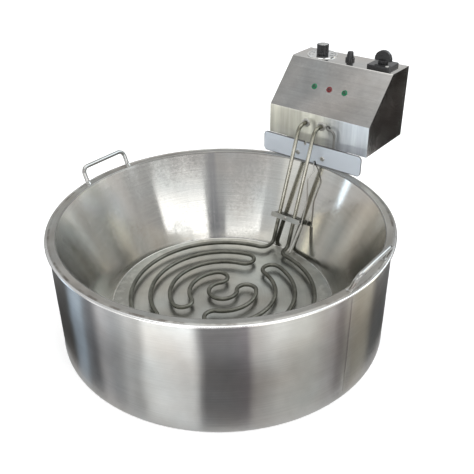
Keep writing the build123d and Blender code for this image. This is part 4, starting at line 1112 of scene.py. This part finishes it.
def makeReset():
    # a collar shaped like a cup, and a tapered button with a dished top
    s = collarSet
    foot = roundSolid("reset_collar")[0]
    inner = s["radius"] - s["wall"]
    slope, lip, drop = s["mouth"]
    bend = edgeArc(s["radius"], s["height"], s["round"], 0, 90, s["roundPoints"])
    profile = np.vstack([(s["neck"], 0), (s["radius"], 0), bend, (inner + slope, s["height"] - lip),
                         (inner, s["height"] - drop), (inner, s["web"]), (s["neck"], s["web"])])
    grid = spun(profile, s["turns"], foot)
    makePiece("reset.collar", "head", "black_plastic", [grid], "reset_collar", True)
    s = buttonSet
    low, high = corners("reset_button")
    top = high[2]
    base = low[2] + s["stemDepth"] + collarSet["height"] - s["overlap"]
    tip = edgeArc(s["tip"], top, s["tipRound"], s["tipFrom"], 90, s["tipPoints"])
    r = np.linspace(*s["dishTo"], s["dishRows"])
    dish = profileLine(r, top - s["dish"] * (1 - (r / s["dishReach"]) ** 2))
    profile = np.vstack([(s["stem"], low[2]), (s["stem"], base), (s["base"] - s["baseEdge"], base),
                         (s["base"], base + s["baseEdge"]), tip, dish])
    grid = spun(profile, s["turns"], (foot[0], foot[1], 0))
    makePiece("reset.button", "reset", "black_plastic", [grid], "reset_button")


lampSet = {
    "seat": (0, 344.0, 346.0), "out": (0, -84.0, 79.0), "pitch": 34.5, "flange": 6.0,
    "flangeHeight": 1.5, "flangeRound": 0.6, "flangePoints": 6, "height": 3.0, "dome": 4.2,
    "domeDrop": 0.9, "domeRows": 26, "hub": 0.25, "ribs": 5, "ribDepth": 0.08,
    "groove": ((4.4, 0.5), (4.7, 0.4), (5.0, 0.0)), "spigot": 4.8, "spigotDepth": 2.2, "turns": 64,
}


def makeLenses():
    # a flanged lens with a groove round a ribbed dome, on the slope
    s = lampSet
    r = np.linspace(s["hub"], s["dome"], s["domeRows"])
    ribs = 2 * s["ribDepth"] * ripples(r * s["ribs"], s["dome"])
    dome = profileLine(r, s["height"] - s["domeDrop"] * (r / s["dome"]) ** 2 - ribs)
    groove = [(radius, s["flangeHeight"] - deep) for radius, deep in s["groove"]]
    rim = edgeArc(s["flange"], s["flangeHeight"], s["flangeRound"], 90, 0, s["flangePoints"])
    foot = [(s["flange"], 0), (s["spigot"], 0), (s["spigot"], -s["spigotDepth"])]
    grid = stand(spun(np.vstack([dome, groove, rim, foot]), s["turns"]), s["seat"], s["out"])
    makePiece("lamp.green", "head", "green_lens", [grid + (x, 0, 0) for x in (-s["pitch"], s["pitch"])],
              "green_lenses")
    makePiece("lamp.red", "head", "red_lens", [grid], "red_lens")


glandSet = {
    "turns": 180, "bore": 4.5, "flats": 13.0, "flange": 5.0,
    "flangeLevels": (0, 0.4, 0.5, 4.4, 4.7, 5.0), "endFace": 0.98, "coneSlope": 1.7, "coneDrop": 0.3,
    "thread": 9.8, "threadDepth": 0.25, "pitch": 1.5, "inside": 10.0, "threadRows": 40, "cap": 11.5,
    "mouth": 8.0, "mouthAt": 13.6, "straight": 8.5, "crown": 5.5, "crownFrom": 0.1, "straightRows": 14,
    "crownRows": 9, "taper": (7.0, 14.0), "ribs": 18, "ribDepth": 0.6, "ribFrom": (0.2, 1.2),
    "ribTo": (7.5, 10.5),
}


def makeGland():
    # hexagon flange with a threaded tail, and a ribbed cap that narrows to the mouth
    s = glandSet
    middle = sum(corners("gland_cap")) / 2
    place = (middle[0], boxHigh[1], middle[2])
    a = ringAngles(s["turns"])[None, :]
    bore = np.full((1, s["turns"]), s["bore"])
    h = np.array(s["flangeLevels"])[:, None]
    cone = s["flats"] * s["endFace"] + s["coneSlope"] * np.minimum(h + s["coneDrop"], s["flange"] - h)
    flange = np.minimum(hexRadius(a, s["flats"]), cone)
    depth = np.linspace(-s["inside"], 0, s["threadRows"])[:, None]
    thread = s["thread"] - s["threadDepth"] * ripples(depth, s["pitch"])
    r = np.vstack([bore, np.broadcast_to(thread, (len(thread), s["turns"])), flange, bore])
    body = roundAxis(r, a, np.vstack([-s["inside"], depth, h, s["flange"]]))
    makePiece("gland.body", "head", "black_plastic", [stand(body, place, backOut)], "gland_body", True)
    crown = s["crown"] * np.sin(np.linspace(s["crownFrom"], 1, s["crownRows"]) * math.pi / 2)
    h = np.append(np.linspace(0, s["straight"], s["straightRows"]), s["straight"] + crown)[:, None]
    shape = s["cap"] - (s["cap"] - s["mouth"]) * smoothStep(h, *s["taper"])
    ribbed = smoothStep(h, *s["ribFrom"]) * (1 - smoothStep(h, *s["ribTo"]))
    rib = s["ribDepth"] * (0.5 + 0.5 * np.cos(s["ribs"] * a)) * ribbed
    cap = roundAxis(np.vstack([shape - rib, bore, bore]), a, np.vstack([h, s["mouthAt"], 0]) + s["flange"])
    makePiece("gland.cap", "head", "black_plastic", [stand(cap, place, backOut)], "gland_cap", True)


makeFasteners()
makeClip()
makeFerrules()
makeSleeve()
makeKnob()
makeCap()
makeDial()
makeReset()
makeLenses()
makeGland()
print("control head made")


# Stage

cameraSet = {
    "place": (0.6427, -0.7714, 0.780), "heading": 38.24, "dip": 31.27, "roll": -0.52, "lens": 50.354,
    "sensor": 36,
}


def makeCamera():
    # heading turns it to the left of +Y, dip tips it down, roll leans it about its own line of sight
    s = cameraSet
    h, d, r = (math.radians(s[key]) for key in ("heading", "dip", "roll"))
    right = Vector((math.cos(h), math.sin(h), 0))
    forward = Vector((-math.sin(h) * math.cos(d), math.cos(h) * math.cos(d), -math.sin(d)))
    up = right.cross(forward)
    tiltRight = right * math.cos(r) + up * math.sin(r)
    tiltUp = up * math.cos(r) - right * math.sin(r)
    turn = Matrix((tiltRight, tiltUp, -forward)).transposed().to_4x4()
    data = bpy.data.cameras.new("camera")
    data.lens = s["lens"]
    data.sensor_width = s["sensor"]
    camera = bpy.data.objects.new("camera", data)
    camera.matrix_world = Matrix.Translation(Vector(s["place"])) @ turn
    scene.collection.objects.link(camera)
    scene.camera = camera


def lightColour(light):  # a plain number is a grey
    return light if isinstance(light, tuple) else (light, light, light)


def stageAngles(spot):
    # degrees round from the front of the stage, to the right, and degrees above the horizon
    sideways = towards(spot, cameraSet["heading"])
    ahead = towards(spot, cameraSet["heading"] - 90)
    level = times(calc("ARCTAN2", sideways, ahead), 180 / math.pi)
    return level, times(calc("ARCSINE", axes(spot)[2]), 180 / math.pi)


def softEdge(value, middle, half, soft):  # 1 within half of the middle, with a soft edge
    off = apart(value, middle)
    return span(off, 1.0, 0.0, half - soft, half + soft, interpolation_type="SMOOTHSTEP")


# soft panels far away: degrees round to the right, degrees up, half width, half height, soft edge,
# lean and light
worldSet = {
    "light": (0.66, 0.665, 0.67),
    "panels": (
        (36, 10, 21, 11, 1.0, -0.0875, 1.65), (-20, 9, 17, 10.5, 1.0, 0, 1.4),
        (6, 9, 8.5, 12.5, 1.0, 0, (-0.36, -0.36, -0.34)), (0, 28, 42, 5.5, 2, 0, (-0.13, -0.13, -0.12)),
        (-103, 6, 2.4, 9, 1.5, 0, (1.2, 1.5, 1.8)), (97, 9, 3, 8, 1.5, 0, (2.8, 2.6, 2.1)),
        (104, 38, 34, 15, 4, 0, (1.6, 1.75, 1.85)), (0, 90, 400, 30, 7, 0, 1.2),
        (-90, 53, 40, 13, 8, 0, -0.25), (68, 14, 12, 9, 3, 0, -0.16),
        (-70, 27, 20, 9, 3, 0, (0.4, 0.385, 0.35)), (-24, 40, 14, 6, 3, 0, (0.2, 0.19, 0.18)),
        (9, 44.5, 5, 5, 1.5, 0, (3.0, 2.8, 2.2)),
    ),
}


def makeWorld():
    # pale all round; each panel adds or takes away light
    world = bpy.data.worlds.new("world")
    scene.world = world
    world.use_nodes = True
    tree = paint["tree"] = world.node_tree
    turn, rise = stageAngles(socket("TexCoord", output="Generated"))
    total = worldSet["light"]
    for level, height, halfWidth, halfHeight, soft, lean, light in worldSet["panels"]:
        leant = times(calc("SUBTRACT", turn, level), lean)
        share = times(softEdge(turn, level, halfWidth, soft),
                      softEdge(calc("SUBTRACT", rise, leant), height, halfHeight, soft))
        glow = socket("VectorMath", {0: lightColour(light), "Scale": share}, operation="SCALE")
        total = vector("ADD", total, glow)
    tree.links.new(total, tree.nodes["Background"].inputs[0])


def stagePiece(name, points, faces, seenBy="all"):
    mesh = bpy.data.meshes.new(name)
    mesh.from_pydata([tuple(point) for point in points], [], [tuple(face) for face in faces])
    mesh.materials.append(materials["stage_" + name])
    piece = bpy.data.objects.new(name, mesh)
    scene.collection.objects.link(piece)
    if seenBy != "all":  # a card that only the metal sees, or a backdrop that only the camera sees
        piece.visible_camera = piece.visible_transmission = seenBy == "camera"
        piece.visible_glossy = seenBy == "metal"
        piece.visible_diffuse = piece.visible_shadow = piece.visible_volume_scatter = False


floorStageSet = {"half": 9.0, "colour": (0.86, 0.86, 0.86), "glow": 0.28, "inMetal": 0.8}


def makeFloorStage():
    # pale and a little bright to the camera, so that it keeps the shadow; plain and pale in the metal
    s = floorStageSet
    newMaterial("stage_floor")
    shade = socket("BsdfDiffuse", {0: s["colour"]})
    rays = socket("LightPath").node.outputs
    seen = calc("MAXIMUM", rays["Is Camera Ray"], rays["Is Transmission Ray"])
    both = socket("AddShader", {0: shade, 1: socket("Emission", {1: times(seen, s["glow"])})})
    mirrored = socket("Emission", {1: s["inMetal"]})
    closeMaterial(socket("MixShader", {0: rays["Is Glossy Ray"], 1: both, 2: mirrored}))
    square = np.array(((-1, -1, 0), (1, -1, 0), (1, 1, 0), (-1, 1, 0)))
    stagePiece("floor", square * s["half"], [(0, 1, 2, 3)])


backdropSet = {"radius": 8.8, "height": 12.0, "sides": 96, "colour": (1.0, 1.0, 1.0)}


def makeBackdrop():
    # a plain white wall all round, far behind the object
    s = backdropSet
    newMaterial("stage_backdrop")
    closeMaterial(socket("Emission", {0: s["colour"]}))
    grid = spun([(s["radius"], 0), (s["radius"], s["height"])], s["sides"])
    stagePiece("backdrop", grid.reshape(-1, 3), gridFaces(2, s["sides"], False)[0], "camera")


# a low ring of light and dark cards all round the pan; its bands are degrees round to the right, and light
cardSet = {
    "radius": 0.312, "foot": 0.002, "height": 0.205, "first": -165, "last": 195, "steps": 181,
    "fade": (0.95, 2.1, 0.112, 0.192), "ripple": 5.0, "rippleSize": 12.0, "rippleDetail": (2.0, 0.5),
    "blotchSize": 8.4, "blotch": (0.80, 1.20),
    "bands": (
        (-165, 0.5), (-86, 0.45), (-78, 0.1), (-59, 0.09), (-55.5, (0.41, 0.49, 0.58)),
        (-50.5, (0.41, 0.49, 0.57)), (-47.5, (0.17, 0.17, 0.18)), (-43.5, (0.17, 0.17, 0.18)),
        (-39.5, (0.58, 0.57, 0.58)), (-34.5, (0.41, 0.41, 0.42)), (-32, 0.43),
        (-29, (0.6, 0.595, 0.59)), (-26, (0.53, 0.525, 0.515)), (-22.5, (1.03, 1.03, 1.01)),
        (-8.5, (1.0, 1.0, 0.99)), (-4.5, (0.18, 0.175, 0.18)), (3, (0.165, 0.16, 0.165)),
        (8.5, (0.19, 0.17, 0.18)), (11, (0.48, 0.45, 0.43)), (19.5, (0.73, 0.72, 0.69)),
        (24.5, (0.66, 0.655, 0.62)), (30.5, (0.59, 0.59, 0.56)), (34.5, (0.46, 0.44, 0.42)),
        (37.5, (0.42, 0.39, 0.38)), (40, (0.24, 0.215, 0.21)), (42.5, (0.23, 0.205, 0.2)),
        (44.5, (0.42, 0.4, 0.37)), (48, (0.37, 0.345, 0.29)), (55, (0.39, 0.365, 0.305)),
        (60.5, (0.11, 0.105, 0.1)), (78, 0.11), (86, 0.45),
    ),
}


def makeCards():
    # a colour ramp over the angle, made uneven by noise, brighter towards the top
    s = cardSet
    newMaterial("stage_cards")
    spot = objectSpot()
    uneven = calc("SUBTRACT", noise(spot, s["rippleSize"], *s["rippleDetail"]), 0.5)
    turn = plus(stageAngles(spot)[0], times(uneven, s["ripple"]))
    bands = socket("ValToRGB", {0: plus(calc("DIVIDE", turn, 360.0), 0.5)})
    ramp = bands.node.color_ramp
    ramp.interpolation = "EASE"
    ramp.elements.remove(ramp.elements[0])
    for index, (level, light) in enumerate(s["bands"]):
        stop = ramp.elements.new(level / 360 + 0.5) if index else ramp.elements[0]
        stop.position = level / 360 + 0.5
        stop.color = (*lightColour(light), 1.0)
    strength = times(span(axes(spot)[2], *s["fade"]),
                     span(noise(spot, s["blotchSize"]), *s["blotch"]))
    closeMaterial(socket("Emission", {0: bands, 1: strength}))
    a = math.radians(cameraSet["heading"] - 90) + np.radians(np.linspace(s["first"], s["last"], s["steps"]))
    grid = roundAxis(s["radius"], a[None, :], np.array((s["foot"], s["foot"] + s["height"]))[:, None])
    j = np.arange(len(a) - 1)
    faces = np.column_stack([j, j + 1, j + 1 + len(a), j + len(a)])
    stagePiece("cards", grid.reshape(-1, 3), faces, "metal")


# a dark upright card on the right behind the head, nearly edge-on from behind; its turn is in degrees
darkCardSet = {
    "middle": (0.395, 0.845, 0.002), "width": 0.72, "height": 0.38, "turn": 45.0, "soft": 0.03,
    "light": (0.025, 0.022, 0.02),
}


def makeDarkCard():
    # a plain card that fades out towards its two ends
    s = darkCardSet
    newMaterial("stage_dark_card")
    a = math.radians(s["turn"])
    way = np.array((math.cos(a), math.sin(a), 0))
    foot = np.array(s["middle"])
    half = s["width"] / 2
    share = softEdge(towards(objectSpot(), s["turn"]), float(foot @ way), half - s["soft"], s["soft"])
    clear = socket("BsdfTransparent")
    closeMaterial(socket("MixShader", {0: share, 1: clear, 2: socket("Emission", {0: s["light"]})}))
    reach, top = way * half, np.array((0, 0, s["height"]))
    points = [foot - reach, foot + reach, foot + reach + top, foot - reach + top]
    stagePiece("dark_card", points, [(0, 1, 2, 3)], "metal")


# soft lamps: place, size and power
lampStageSet = {"key": ((-1.3, -1.4, 2.4), 1.6, 18.0), "fill": ((1.6, -0.4, 2.2), 1.4, 9.0)}


def makeLamps():
    for name, (spot, size, power) in lampStageSet.items():
        data = bpy.data.lights.new(name, "AREA")
        data.size = size
        data.energy = power
        lamp = bpy.data.objects.new(name, data)
        turn = Vector(spot).to_track_quat("Z", "Y").to_matrix().to_4x4()
        lamp.matrix_world = Matrix.Translation(spot) @ turn
        lamp.visible_camera = lamp.visible_glossy = False
        scene.collection.objects.link(lamp)


makeCamera()
makeWorld()
makeFloorStage()
makeBackdrop()
makeCards()
makeDarkCard()
makeLamps()
print("stage made")
